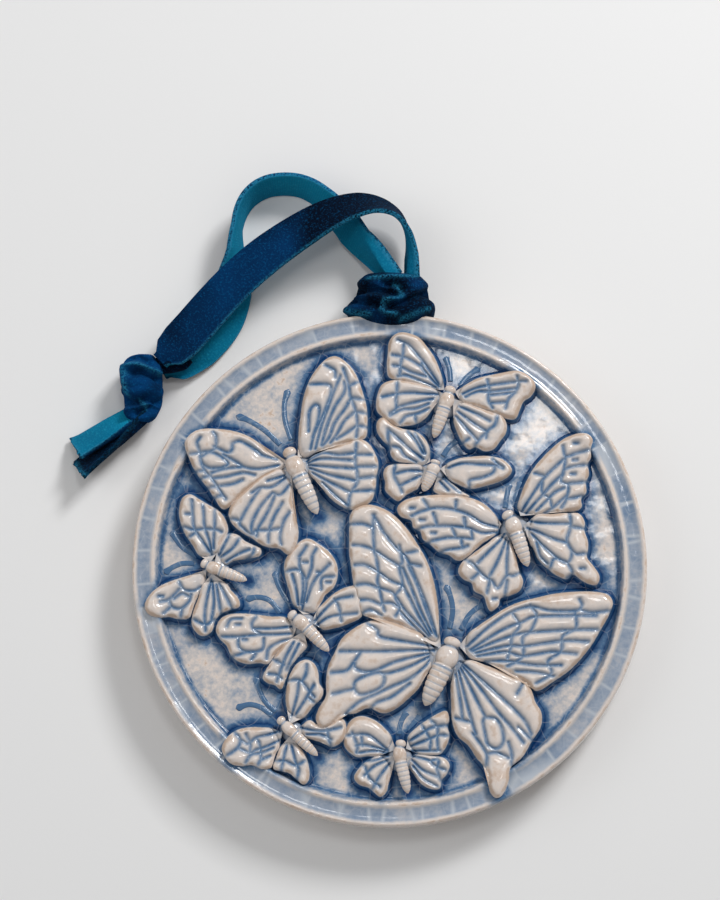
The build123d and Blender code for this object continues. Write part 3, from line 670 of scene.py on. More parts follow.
def lump(line, half_widths, half_heights, columns, squareness=1.0, bent=True):
    """A closed tube of squared-oval sections along a line: its rings of points, then its two end points.

    Across it is the half width times a signed power of cos a, and up it is the half height times the same
    power of sin a. The power is the squareness: one gives an oval, and less than one squares it. Bent
    sections turn with the line, and the others all lie square to the line from its start to its end.
    """
    along = unit(np.gradient(line, axis=0)) if bent else unit(line[-1:] - line[:1])
    across = unit(np.cross(along, (0, 0, 1)))
    upward = np.cross(across, along)
    angle = np.linspace(0, 2 * np.pi, columns, endpoint=False)[None, :, None]
    x = np.sign(np.cos(angle)) * np.abs(np.cos(angle)) ** squareness
    z = np.sign(np.sin(angle)) * np.abs(np.sin(angle)) ** squareness
    rings = (line[:, None, :] + across[:, None, :] * x * np.asarray(half_widths)[:, None, None]
             + upward[:, None, :] * z * np.asarray(half_heights)[:, None, None])
    return np.concatenate([rings.reshape(-1, 3), line[:1], line[-1:]])


# A wing's cells swell between sunk grooves, which widen away from the root. Its foot is a fillet of glaze,
# and each row of it is a spread, a rise over the field and a depth of pooled glaze.
groove_depth = 0.00030
groove_half_width = 0.00017
groove_widening = 0.00014
widening_run = 0.006
cell_swell = 0.00036
swell_reach = 0.00080
root_dip = 0.0006
root_reach = 0.0024
overlap_lift = 0.0006
overlap_start = 0.038
overlap_run = 0.003
edge_drop = 0.9
row_crowding = 1.35
outline_spacing = 0.00008
wing_fillet = np.array([(0.00008, 0.00095, 0.62), (0.00025, 0.00050, 0.80), (0.00055, 0.00018, 0.94),
                        (0.00095, -0.00030, 1.00)])


def wing_shell(root_px, edge_px, grooves_px, spacing, height, shoulder):
    """One wing as a polar grid from its root to its edge, closed below the field.

    Its height is the wing's own, less a quarter circle at the edge, less a bell curve of the distance to
    the nearest groove, plus the swell of the cell between them. It is raised where it crosses the rim.
    The rows crowd towards the edge. Glaze pools in the grooves and at the root, and thins along the edge.
    """
    root = relief_plan(root_px)
    loop = even_places(curve_through(relief_plan(edge_px), closed=True), spacing, closed=True)
    turn = np.roll(loop, -1, axis=0) - loop
    if (loop[:, 0] * turn[:, 1] - loop[:, 1] * turn[:, 0]).sum() < 0:
        loop = loop[::-1]
    columns = len(loop)
    rows = max(int(np.linalg.norm(loop - root, axis=1).max() / spacing * 1.15), 12)
    out = 1 - (1 - np.linspace(0.02, 1, rows)) ** row_crowding
    plan = (root + out[:, None, None] * (loop - root)[None]).reshape(-1, 2)
    to_edge = nearest_distance(plan, even_places(loop, outline_spacing, closed=True))
    lines = [even_places(curve_through(relief_plan(line)), outline_spacing) for line in grooves_px]
    to_groove = nearest_distance(plan, np.vstack(lines))
    to_root = np.linalg.norm(plan - root, axis=1)
    half_width = groove_half_width + groove_widening * np.clip(to_root / widening_run, 0, 1)
    rounding = 1 - np.sqrt(1 - (1 - np.clip(to_edge / shoulder, 0, 1)) ** 2)
    swell = 1 - np.exp(-(np.minimum(to_edge, to_groove) / swell_reach) ** 2)
    groove = np.exp(-(to_groove / half_width) ** 2)
    over_rim = np.clip((np.linalg.norm(plan, axis=1) - overlap_start) / overlap_run, 0, 1)
    lift = overlap_lift * over_rim ** 2 * (3 - 2 * over_rim)
    z = (field_height + height + lift - edge_drop * shoulder * rounding - groove_depth * groove
         + cell_swell * swell - root_dip * np.exp(-(to_root / root_reach) ** 2))
    pool = np.clip(0.08 + 0.40 * np.exp(-(to_groove / (1.15 * half_width)) ** 2)
                   + 0.13 * np.exp(-(to_groove / (2.8 * half_width)) ** 2)
                   + 0.20 * np.exp(-(to_root / 0.0028) ** 2)
                   - 0.12 * np.exp(-((to_edge - 0.00030) / 0.00022) ** 2), 0, 0.80)
    top = np.column_stack([plan, z])
    tangent = unit(np.roll(loop, -1, axis=0) - np.roll(loop, 1, axis=0))
    outward = np.column_stack([tangent[:, 1], -tangent[:, 0]])
    fillet = [np.column_stack([loop + outward * spread, np.full(columns, field_height + rise)])
              for spread, rise, _ in wing_fillet]
    centres = [(*root, z[0]), (*root, field_height + wing_fillet[-1, 1])]
    points = np.concatenate([top, *fillet, centres])
    pool = np.concatenate([pool, np.repeat(wing_fillet[:, 2], columns), [pool[0], 1.0]])
    return points, closed_faces(rows + len(wing_fillet), columns), pool


# A body lies over the wing roots, arched a little, so that its head and its tail sink into them.
body_base = 0.0017
body_arch = 0.35
body_rings = 7
body_spacing = 0.00012
body_columns = 40


def body_shell(places_px, radius):
    """Head, thorax and ringed abdomen as one turned form, each a share of the radius along the body.

    Head and thorax are ellipses, the abdomen narrows by a power of the way along it, and its rings are the
    sine of that way. Glaze pools at both waists, between the rings and low on the sides.
    """
    line = even_places(curve_through(relief_plan(places_px), per_span=30), body_spacing)
    t = np.linspace(0, 1, len(line))
    head = 0.76 * np.sqrt(np.maximum(1 - ((t - 0.075) / 0.075) ** 2, 0))
    thorax = np.sqrt(np.maximum(1 - ((t - 0.285) / 0.17) ** 2, 0))
    tail = np.clip((t - 0.42) / 0.58, 0, 1)
    ringed = np.abs(np.sin(tail * body_rings * np.pi))
    abdomen = 0.90 * (1 - tail ** 3.4 * 0.66) * (0.93 + 0.07 * ringed) * (t > 0.40)
    share = np.maximum.reduce([head, thorax, abdomen, 0.42 * (t > 0.04) * (t < 0.9)])
    share *= np.sqrt(np.clip((1 - t) / 0.07, 0, 1))
    share = np.maximum(share, 0.02)
    height = field_height + body_base + body_arch * radius * np.sin(np.pi * t)
    spine = np.column_stack([line, height])
    points = lump(spine, share * radius * 1.22, share * radius * 0.94, body_columns)
    waist = np.exp(-((t - 0.14) / 0.02) ** 2) + np.exp(-((t - 0.435) / 0.02) ** 2)
    rings = np.clip(1 - ringed * 1.6, 0, 1) * (t > 0.43)
    low = np.clip(1 - (points[:-2, 2].reshape(len(t), body_columns) - field_height) / 0.0012, 0, 1)
    pool = np.clip(0.07 + 0.40 * waist[:, None] + 0.30 * rings[:, None] + low, 0, 1)
    return points, closed_faces(len(t), body_columns), np.append(pool.ravel(), [0.3, 0.3])


def mound_shell(places_px, radius):
    """The low web of clay that joins the wings round the thorax. Its width and its height follow half an
    ellipse along that part of the body."""
    columns = 48
    line = even_places(curve_through(relief_plan(places_px), per_span=30), 0.00015)
    line = line[int(len(line) * 0.10):int(len(line) * 0.62)]
    share = np.sqrt(np.maximum(1 - np.linspace(-0.999, 0.999, len(line)) ** 2, 0.002))
    spine = np.column_stack([line, np.full(len(line), field_height)])
    points = lump(spine, share * radius * 2.25, share * (0.0008 + 0.74 * radius), columns, squareness=0.9)
    pool = 0.38 + 0.45 * np.clip(1 - (points[:, 2] - field_height) / 0.0009, 0, 1)
    return points, closed_faces(len(line), columns), pool


antenna_half_width = 0.00046
antenna_rise = 0.00014
antenna_pool = 0.64


def antenna_shell(places_px):
    """A faint flat ridge under pooled glaze. A bell curve near its tip makes the club."""
    columns = 16
    line = even_places(curve_through(relief_plan(places_px)), 0.00025)
    t = np.linspace(0, 1, len(line))
    club = 1 + 0.4 * np.exp(-((t - 0.93) / 0.09) ** 2)
    half_width = antenna_half_width * club * np.sqrt(np.clip((1 - t) / 0.06, 0.02, 1))
    spine = np.column_stack([line, np.full(len(line), field_height)])
    points = lump(spine, half_width, np.full(len(line), antenna_rise), columns)
    return points, closed_faces(len(line), columns), np.full(len(points), antenna_pool)


def add_mesh(name, points, faces, materials, body, uv=None, marks=None, face_material=None):
    """Puts arrays of points and faces into a smooth mesh that rides on a body of the frame.

    uv is one pair for each point, and marks holds named values, one for each point.
    """
    mesh = bpy.data.meshes.new(name)
    mesh.from_pydata(points.tolist(), [], faces)
    mesh.polygons.foreach_set("use_smooth", np.ones(len(faces), bool))
    if uv is not None:
        corners = np.zeros(len(mesh.loops), int)
        mesh.loops.foreach_get("vertex_index", corners)
        mesh.uv_layers.new(name="surface").data.foreach_set("uv", np.asarray(uv, float)[corners].ravel())
    for mark, values in (marks or {}).items():
        attribute = mesh.attributes.new(mark, "FLOAT", "POINT")
        attribute.data.foreach_set("value", np.asarray(values, np.float32).ravel())
    for material in materials:
        mesh.materials.append(material)
    if face_material is not None:
        mesh.polygons.foreach_set("material_index", np.asarray(face_material, np.int32))
    mesh.update()
    piece = bpy.data.objects.new(name, mesh)
    bpy.context.scene.collection.objects.link(piece)
    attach(piece, body)
    return piece


def plain_material(name, colour):
    """A new node material and its shader."""
    material = bpy.data.materials.new(name)
    material.use_nodes = True
    shader = material.node_tree.nodes["Principled BSDF"]
    shader.inputs["Base Color"].default_value = (*colour, 1)
    return material, shader


def group(name, inputs, outputs):
    """A new node group with its sockets, each a name and a socket type."""
    tree = bpy.data.node_groups.new(name, "ShaderNodeTree")
    for label, kind in inputs:
        tree.interface.new_socket(label, in_out="INPUT", socket_type=kind)
    for label, kind in outputs:
        tree.interface.new_socket(label, in_out="OUTPUT", socket_type=kind)
    return tree, tree.nodes.new("NodeGroupInput"), tree.nodes.new("NodeGroupOutput")


def node(tree, kind, links=None, **settings):
    """A node with its settings, and its inputs linked to sockets or set to values."""
    made = tree.nodes.new("ShaderNode" + kind)
    for key, value in settings.items():
        setattr(made, key, value)
    for key, value in (links or {}).items():
        if isinstance(value, bpy.types.NodeSocket):
            tree.links.new(value, made.inputs[key])
        else:
            made.inputs[key].default_value = value
    return made


def noise(tree, vector, scale, detail, roughness=0.5):
    """A noise pattern's value over the surface."""
    made = node(tree, "TexNoise", {"Vector": vector, "Scale": scale, "Detail": detail,
                                   "Roughness": roughness})
    return made.outputs["Fac"]


def marked(tree, name):
    """A value that add_mesh stored at each point."""
    return node(tree, "Attribute", attribute_name=name).outputs["Fac"]


def ranged(tree, value, low=0.0, high=1.0, at_low=0.0, at_high=1.0):
    """The value carried from low and high to at_low and at_high, and held there outside them."""
    made = node(tree, "MapRange", {"Value": value, "From Min": low, "From Max": high, "To Min": at_low,
                                   "To Max": at_high})
    return made.outputs["Result"]


def reckoned(tree, operation, *values):
    """The result of a Math node."""
    return node(tree, "Math", dict(enumerate(values)), operation=operation).outputs[0]


def blended(tree, share, first, second):
    """The first colour turned to the second by a share. A colour is a socket or three numbers."""
    first, second = ((*colour, 1) if isinstance(colour, tuple) else colour for colour in (first, second))
    return node(tree, "Mix", {0: share, 6: first, 7: second}, data_type="RGBA").outputs[2]


def ramp(tree, value, stops):
    """A colour ramp through stops, each a place and a colour."""
    made = node(tree, "ValToRGB", {"Fac": value})
    band = made.color_ramp
    while len(band.elements) < len(stops):
        band.elements.new(0.5)
    for element, (place, colour) in zip(band.elements, stops):
        element.position = place
        element.color = (*colour, 1)
    return made.outputs["Color"]


# Glaze: its depth turns it from the tan of thin places through ivory and slate to cobalt. Clouds of finer
# and coarser grain vary that depth, and a net of fine cracks shows pale where the glaze is deep.
tan = (0.560, 0.430, 0.340)
ivory = (0.710, 0.625, 0.570)
milk = (0.530, 0.505, 0.500)
haze = (0.310, 0.355, 0.430)
slate = (0.070, 0.155, 0.285)
cobalt = (0.001, 0.038, 0.140)
crack_colour = (0.56, 0.59, 0.62)
rim_crack_scale = (190.0, 30.0, 1.0)
glaze_tree, glaze_in, glaze_out = group(
    "glaze",
    [("Vector", "NodeSocketVector"), ("Pool", "NodeSocketFloat"), ("Cracks", "NodeSocketFloat"),
     ("Calm", "NodeSocketFloat")],
    [("Color", "NodeSocketColor"), ("Ripple", "NodeSocketFloat")])
fine_cloud = noise(glaze_tree, glaze_in.outputs["Vector"], scale=1100.0, detail=3.0, roughness=0.6)
broad_cloud = noise(glaze_tree, glaze_in.outputs["Vector"], scale=260.0, detail=2.0)
cloud = reckoned(glaze_tree, "ADD", fine_cloud, broad_cloud)
centred = reckoned(glaze_tree, "SUBTRACT", cloud, 1.0)
cloudiness = ranged(glaze_tree, glaze_in.outputs["Calm"], at_low=0.62, at_high=0.24)
depth = reckoned(glaze_tree, "MULTIPLY_ADD", centred, cloudiness, glaze_in.outputs["Pool"])
depth_colour = ramp(glaze_tree, depth, [(0.0, tan), (0.09, ivory), (0.24, milk), (0.40, haze),
                                        (0.62, slate), (0.95, cobalt)])
crack_net = node(glaze_tree, "TexVoronoi", {"Vector": glaze_in.outputs["Vector"], "Scale": 300.0},
                 feature="DISTANCE_TO_EDGE")
net_line = ranged(glaze_tree, crack_net.outputs["Distance"], high=0.035, at_low=1.0, at_high=0.0)
faint_line = reckoned(glaze_tree, "MULTIPLY", net_line, 0.28)
crack_line = reckoned(glaze_tree, "MAXIMUM", faint_line, glaze_in.outputs["Cracks"])
crack_show = ranged(glaze_tree, depth, low=0.15, high=0.55, at_low=0.05, at_high=0.80)
crack_share = reckoned(glaze_tree, "MULTIPLY", crack_line, crack_show)
glaze_colour = blended(glaze_tree, crack_share, depth_colour, crack_colour)
glaze_tree.links.new(glaze_colour, glaze_out.inputs["Color"])
glaze_tree.links.new(broad_cloud, glaze_out.inputs["Ripple"])


def glazed(name, rim_cracks=False):
    """A glaze material. Round the rim the cracks run across it, so they come from the arc's length."""
    material, shader = plain_material(name, ivory)
    tree = material.node_tree
    place = node(tree, "TexCoord")
    links = {"Vector": place.outputs["Object"], "Pool": marked(tree, "pool"), "Cracks": 0.0, "Calm": 1.0}
    if rim_cracks:
        arc = node(tree, "Mapping", {"Vector": place.outputs["UV"], "Scale": rim_crack_scale})
        cells = node(tree, "TexVoronoi", {"Vector": arc.outputs["Vector"], "Scale": 1.0},
                     feature="DISTANCE_TO_EDGE", voronoi_dimensions="2D")
        lines = ranged(tree, cells.outputs["Distance"], high=0.075, at_low=1.0, at_high=0.0)
        rim = marked(tree, "rim")
        links["Cracks"] = reckoned(tree, "MULTIPLY", lines, rim)
        links["Calm"] = rim
    glaze = node(tree, "Group", links, node_tree=glaze_tree)
    tree.links.new(glaze.outputs["Color"], shader.inputs["Base Color"])
    bump = node(tree, "Bump", {"Height": glaze.outputs["Ripple"], "Strength": 0.35, "Distance": 0.0004})
    tree.links.new(bump.outputs["Normal"], shader.inputs["Normal"])
    shader.inputs["Roughness"].default_value = 0.11
    return material


# Each butterfly is one piece: its wings, each a step above the last, then its body, web and feelers. The
# rounded shoulder of a wing is wider on a larger butterfly.
relief_glaze = glazed("relief_glaze")
wing_seat = 0.0002
wing_step = 0.00006
least_shoulder = 0.00065
shoulder_growth = 0.00025 / 1.6
for butterfly_name, butterfly in butterflies.items():
    radius = butterfly["radius"] / 1000
    spacing = butterfly["spacing"] / 1000
    shoulder = least_shoulder + shoulder_growth * butterfly["radius"]
    shells = []
    for number, (root_px, edge_px, grooves_px) in enumerate(butterfly["wings"]):
        height = butterfly["rise"] / 1000 - wing_seat + wing_step * number
        shells.append(wing_shell(root_px, edge_px, grooves_px, spacing, height, shoulder))
    shells.append(body_shell(butterfly["body"], radius))
    shells.append(mound_shell(butterfly["body"], radius))
    shells += [antenna_shell(places) for places in butterfly["antennae"]]
    relief_points = np.vstack([points for points, _, _ in shells])
    relief_pool = np.concatenate([pool for _, _, pool in shells])
    relief_faces = []
    offset = 0
    for points, faces, _ in shells:
        relief_faces += [[i + offset for i in face] for face in faces]
        offset += len(points)
    relief = add_mesh(f"{butterfly_name}_glazed", relief_points, relief_faces, [relief_glaze], "ornament",
                      marks={"pool": relief_pool})
    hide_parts(f"butterfly_{butterfly_name}")


# The medallion, one disc of glazed stoneware: dished field, beaded rim with a shallow groove round it,
# rounded wall, foot ring and hollow back. It is worked out from one profile, and since the reliefs are
# stuck on before glazing, the glaze pools round every one of them.
medallion_columns = 580
field_rings = 112
centre_gap = 0.0006
field_stop = 0.0003
rim_spacing = 0.00036
rim_profile = np.array([
    (39.45, 7.20), (39.70, 7.35), (39.88, 7.90), (40.02, 8.50), (40.18, 8.92), (40.45, 9.12), (40.75, 9.04),
    (41.10, 8.80), (41.65, 8.63), (42.40, 8.58), (43.00, 8.66), (43.40, 8.86), (43.68, 9.08), (43.92, 9.06),
    (44.12, 8.78), (44.24, 8.20), (44.38, 6.60), (44.48, 5.00), (44.46, 3.60), (44.36, 2.30), (44.05, 1.10),
    (43.50, 0.40), (42.80, 0.08), (42.00, 0.00),
]) / 1000
back_profile = np.array([
    (40.0, 0.00), (38.2, 0.05), (37.6, 0.35), (37.3, 1.20), (36.7, 3.90), (36.2, 4.40), (30.0, 4.45),
    (15.0, 4.45), (2.0, 4.45),
]) / 1000
rim_rows = even_places(curve_through(rim_profile, per_span=6), rim_spacing)
field_radii = np.linspace(centre_gap, rim_profile[0, 0] - field_stop, field_rings)
field_rows = np.column_stack([field_radii, np.full(field_rings, field_height)])
profile = np.vstack([field_rows, rim_rows, back_profile])
around = np.linspace(0, 2 * np.pi, medallion_columns, endpoint=False)
ring_radius, ring_angle = np.broadcast_arrays(profile[:, 0][:, None], around[None, :])
ring_height = np.broadcast_to(profile[:, 1][:, None], ring_radius.shape)
ring_points = np.stack([ring_radius * np.cos(ring_angle), ring_radius * np.sin(ring_angle),
                        ring_height], -1).reshape(-1, 3)
disc_points = np.vstack([ring_points, [(0, 0, field_height), (0, 0, back_profile[-1, 1])]])

# The glaze lies deepest along the foot of the rim and round the reliefs. It is thin on the rim, and deeper
# again in the groove and on the bank inside the bead. Each is a bell curve or a slope of a plan distance.
rim_foot = 0.0396
field_edge = 0.0400
bank = 0.04005
rim_start = 0.0402
groove_inside = 0.04078
groove_outside = 0.04370
blend = 0.0004
bank_width = 0.00035
top_height = 0.0065
far_off = 0.01
arc_radius = 0.0425
edge_spacing = 0.0002
wing_edges = [even_places(curve_through(relief_plan(edge_px), closed=True), edge_spacing, closed=True)
              for butterfly in butterflies.values() for _, edge_px, _ in butterfly["wings"]]
body_lines = [even_places(curve_through(relief_plan(butterfly["body"])), edge_spacing)
              for butterfly in butterflies.values()]
from_centre = np.hypot(disc_points[:, 0], disc_points[:, 1])
bearing = np.arctan2(disc_points[:, 1], disc_points[:, 0])
on_top = disc_points[:, 2] > top_height
to_relief = np.full(len(disc_points), far_off)
to_relief[on_top] = nearest_distance(disc_points[on_top, :2], np.vstack(wing_edges + body_lines))
uneven = (np.sin(bearing * 5 + 0.7) + np.sin(from_centre * 260 + bearing * 9)
          + np.sin(bearing * 23 + 1.9)) / 3
foot_width = 0.00085 + 0.00030 * uneven
foot_pool = np.exp(-((from_centre - rim_foot) / foot_width) ** 2) * (0.82 + 0.18 * uneven)
halo = (0.70 * np.exp(-(to_relief / (0.00125 + 0.00030 * uneven)) ** 2)
        + 0.32 * np.exp(-(to_relief / (0.00240 + 0.00060 * uneven)) ** 2))
past_bead = np.clip((from_centre - groove_inside) / blend, 0, 1)
before_lip = np.clip((groove_outside - from_centre) / blend, 0, 1)
groove_pool = (0.43 + 0.05 * uneven) * past_bead * before_lip * on_top
bank_pool = 0.36 * np.exp(-((from_centre - bank) / bank_width) ** 2) * on_top
field_pool = np.maximum(0.20 + 0.83 * halo, foot_pool * 0.95)
rim_pool = np.maximum.reduce([groove_pool, bank_pool, 0.62 * halo * on_top, np.full(len(halo), 0.07)])
in_field = np.clip((field_edge - from_centre) / blend, 0, 1)
disc_pool = np.clip(in_field * field_pool + (1 - in_field) * rim_pool, 0, 1)
disc_rim = np.clip((from_centre - rim_start) / 0.0003, 0, 1)

body_glaze = glazed("body_glaze", rim_cracks=True)
disc_uv = np.column_stack([bearing * arc_radius, from_centre])
medallion = add_mesh("medallion_glazed", disc_points, closed_faces(len(profile), medallion_columns),
                     [body_glaze], "ornament", disc_uv, {"pool": disc_pool, "rim": disc_rim})
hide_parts("medallion")


# The velvet ribbon, a woven band 7 mm wide with cut pile on one face, plain ribs on the other and a pale
# looped selvedge that stands out along both edges. It is tied down on the rim, and its two strands are tied
# together at their other end.
ribbon_width = 0.0070
selvedge_loops = 0.00015
ribbon_thickness = 0.0010
rib_spacing = 0.00042
section_points = 44
# Pale thread of the selvedges and cut ends; on the end knot the same colour is painted sheen on fold ridges.
selvedge_and_sheen_colour = (0.020, 0.190, 0.330)


# Cloth: it turns to a lighter colour of painted sheen in broad clouds, more where its nap is brushed, with
# fine specks of painted glint on the pile tips most of all there. Its ribs fall back to the plain colour,
# and loops of pale thread show at selvedges and cut ends. On the end knot that pale colour is painted sheen.
cloth_tree, cloth_in, cloth_out = group(
    "cloth",
    [("Vector", "NodeSocketVector"), ("Cloth", "NodeSocketColor"), ("Painted Sheen", "NodeSocketColor"),
     ("Glint Specks", "NodeSocketColor"), ("Speck Scale", "NodeSocketFloat"), ("Brushed Sheen", "NodeSocketFloat"),
     ("Ribs", "NodeSocketFloat"), ("Selvedge And Sheen", "NodeSocketFloat"), ("Cut", "NodeSocketFloat")],
    [("Color", "NodeSocketColor"), ("Grain", "NodeSocketFloat")])
cloth = cloth_in.outputs
cloth_clouds = noise(cloth_tree, cloth["Vector"], scale=48.0, detail=3.0)
grain = noise(cloth_tree, cloth["Vector"], scale=cloth["Speck Scale"], detail=2.0, roughness=0.7)
# Painted sheen: the brushed share and the clouds set how far the cloth turns to its lighter sheen colour.
sheen_level = reckoned(cloth_tree, "MULTIPLY_ADD", cloth["Brushed Sheen"], 0.40, cloth_clouds)
sheen_share = ranged(cloth_tree, sheen_level, low=0.60, high=0.92)
sheen_painted = blended(cloth_tree, sheen_share, cloth["Cloth"], cloth["Painted Sheen"])
# Painted glints: specks of the glint colour, strongest where the painted sheen is.
speck_share = ranged(cloth_tree, grain, low=0.52, high=0.72, at_high=0.70)
raised = ranged(cloth_tree, sheen_share, at_low=0.55)
speck_amount = reckoned(cloth_tree, "MULTIPLY", speck_share, raised)
glint_speckled = blended(cloth_tree, speck_amount, sheen_painted, cloth["Glint Specks"])
rib_shaded = blended(cloth_tree, cloth["Ribs"], glint_speckled, cloth["Cloth"])
pale = reckoned(cloth_tree, "MAXIMUM", cloth["Selvedge And Sheen"], cloth["Cut"])
fuzz = noise(cloth_tree, cloth["Vector"], scale=3200.0, detail=1.0)
loops = ranged(cloth_tree, fuzz, low=0.34, high=0.62)
loop_amount = reckoned(cloth_tree, "MULTIPLY", pale, loops)
edged = blended(cloth_tree, loop_amount, rib_shaded, selvedge_and_sheen_colour)
cloth_tree.links.new(edged, cloth_out.inputs["Color"])
cloth_tree.links.new(grain, cloth_out.inputs["Grain"])


def ribbon_material(name, colour, painted_sheen, glint_specks, speck_scale, ribs):
    """One side of the ribbon. Its ribs come and go with the sine of the way along the ribbon."""
    material, shader = plain_material(name, colour)
    tree = material.node_tree
    place = node(tree, "TexCoord")
    links = {"Vector": place.outputs["Object"], "Cloth": (*colour, 1), "Painted Sheen": (*painted_sheen, 1),
             "Glint Specks": (*glint_specks, 1), "Speck Scale": speck_scale, "Brushed Sheen": marked(tree, "brushed_sheen"),
             "Selvedge And Sheen": marked(tree, "selvedge_and_sheen"), "Cut": marked(tree, "cut")}
    if ribs:
        along = node(tree, "SeparateXYZ", {"Vector": place.outputs["UV"]})
        turn = reckoned(tree, "MULTIPLY", along.outputs["X"], 2 * math.pi / rib_spacing)
        links["Ribs"] = ranged(tree, reckoned(tree, "SINE", turn), low=-1.0, at_low=0.30, at_high=0.0)
    woven = node(tree, "Group", links, node_tree=cloth_tree)
    tree.links.new(woven.outputs["Color"], shader.inputs["Base Color"])
    bump = node(tree, "Bump", {"Height": woven.outputs["Grain"], "Strength": 0.5, "Distance": 0.0003})
    tree.links.new(bump.outputs["Normal"], shader.inputs["Normal"])
    shader.inputs["Roughness"].default_value = 0.9
    shader.inputs["Specular IOR Level"].default_value = 0.06
    return material, shader


# Each side: its own colour, a lighter colour of painted sheen where the nap is brushed, and the colour of
# painted glints on the pile tips.
velvet, velvet_shader = ribbon_material("velvet", (0.0002, 0.0030, 0.012), (0.0005, 0.036, 0.130),
                                        (0.002, 0.095, 0.250), 2800.0, False)
velvet_shader.inputs["Sheen Weight"].default_value = 0.09
velvet_shader.inputs["Sheen Roughness"].default_value = 0.35
velvet_shader.inputs["Sheen Tint"].default_value = (0.02, 0.30, 0.75, 1)
ribbon_back, ribbon_back_shader = ribbon_material("ribbon_back", (0.002, 0.120, 0.230),
                                                  (0.004, 0.240, 0.400), (0.020, 0.340, 0.500),
                                                  2600.0, True)
ribbon_back_shader.inputs["Sheen Weight"].default_value = 0.08
ribbon_back_shader.inputs["Sheen Tint"].default_value = (0.10, 0.55, 0.80, 1)


def smooth_line(route, count):
    """Evenly spaced places on the NURBS curve of order 3 that has the route's points as control points, and
    the curve's length."""
    curve = bpy.data.curves.new("route", "CURVE")
    curve.dimensions = "3D"
    curve.resolution_u = 24
    spline = curve.splines.new("NURBS")
    spline.points.add(len(route) - 1)
    spline.points.foreach_set("co", np.column_stack([route, np.ones(len(route))]).ravel())
    spline.order_u = 3
    spline.use_endpoint_u = True
    holder = bpy.data.objects.new("route", curve)
    mesh = bpy.data.meshes.new_from_object(holder)
    places = np.zeros(len(mesh.vertices) * 3)
    mesh.vertices.foreach_get("co", places)
    places = places.reshape(-1, 3)
    bpy.data.objects.remove(holder)
    bpy.data.curves.remove(curve)
    bpy.data.meshes.remove(mesh)
    run = way_along(places)
    even = np.linspace(0, run[-1], count)
    return np.stack([np.interp(even, run, places[:, k]) for k in range(3)], 1), float(run[-1])


def spread(values, count):
    """A few values set evenly along a line, read off at a number of even places."""
    return np.interp(np.linspace(0, 1, count), np.linspace(0, 1, len(values)), values)


def ribbon_frame(line, tilts):
    """For each place on a line, the direction across the ribbon and the direction its pile faces.

    Level is the line's direction crossed with straight up; across is level turned by the tilt, in degrees,
    towards up; the pile faces across crossed with the line's direction.
    """
    along = unit(np.gradient(line, axis=0))
    level = unit(np.cross(along, (0, 0, 1)))
    tilt = np.radians(spread(tilts, len(line)))[:, None]
    across = level * np.cos(tilt) + np.cross(level, along) * np.sin(tilt)
    return across, np.cross(across, along)


# No point of a ribbon is lower than this above the surface that the ornament lies on, and there its upper
# face stays higher than its lower one by the thickness of pressed cloth.
lying_height = 0.0002
pressed_thickness = 0.0006
gather_height = 0.0011
section_power = 0.3
drawn_in = 0.035
fray_start = 0.75
cut_start = 0.93


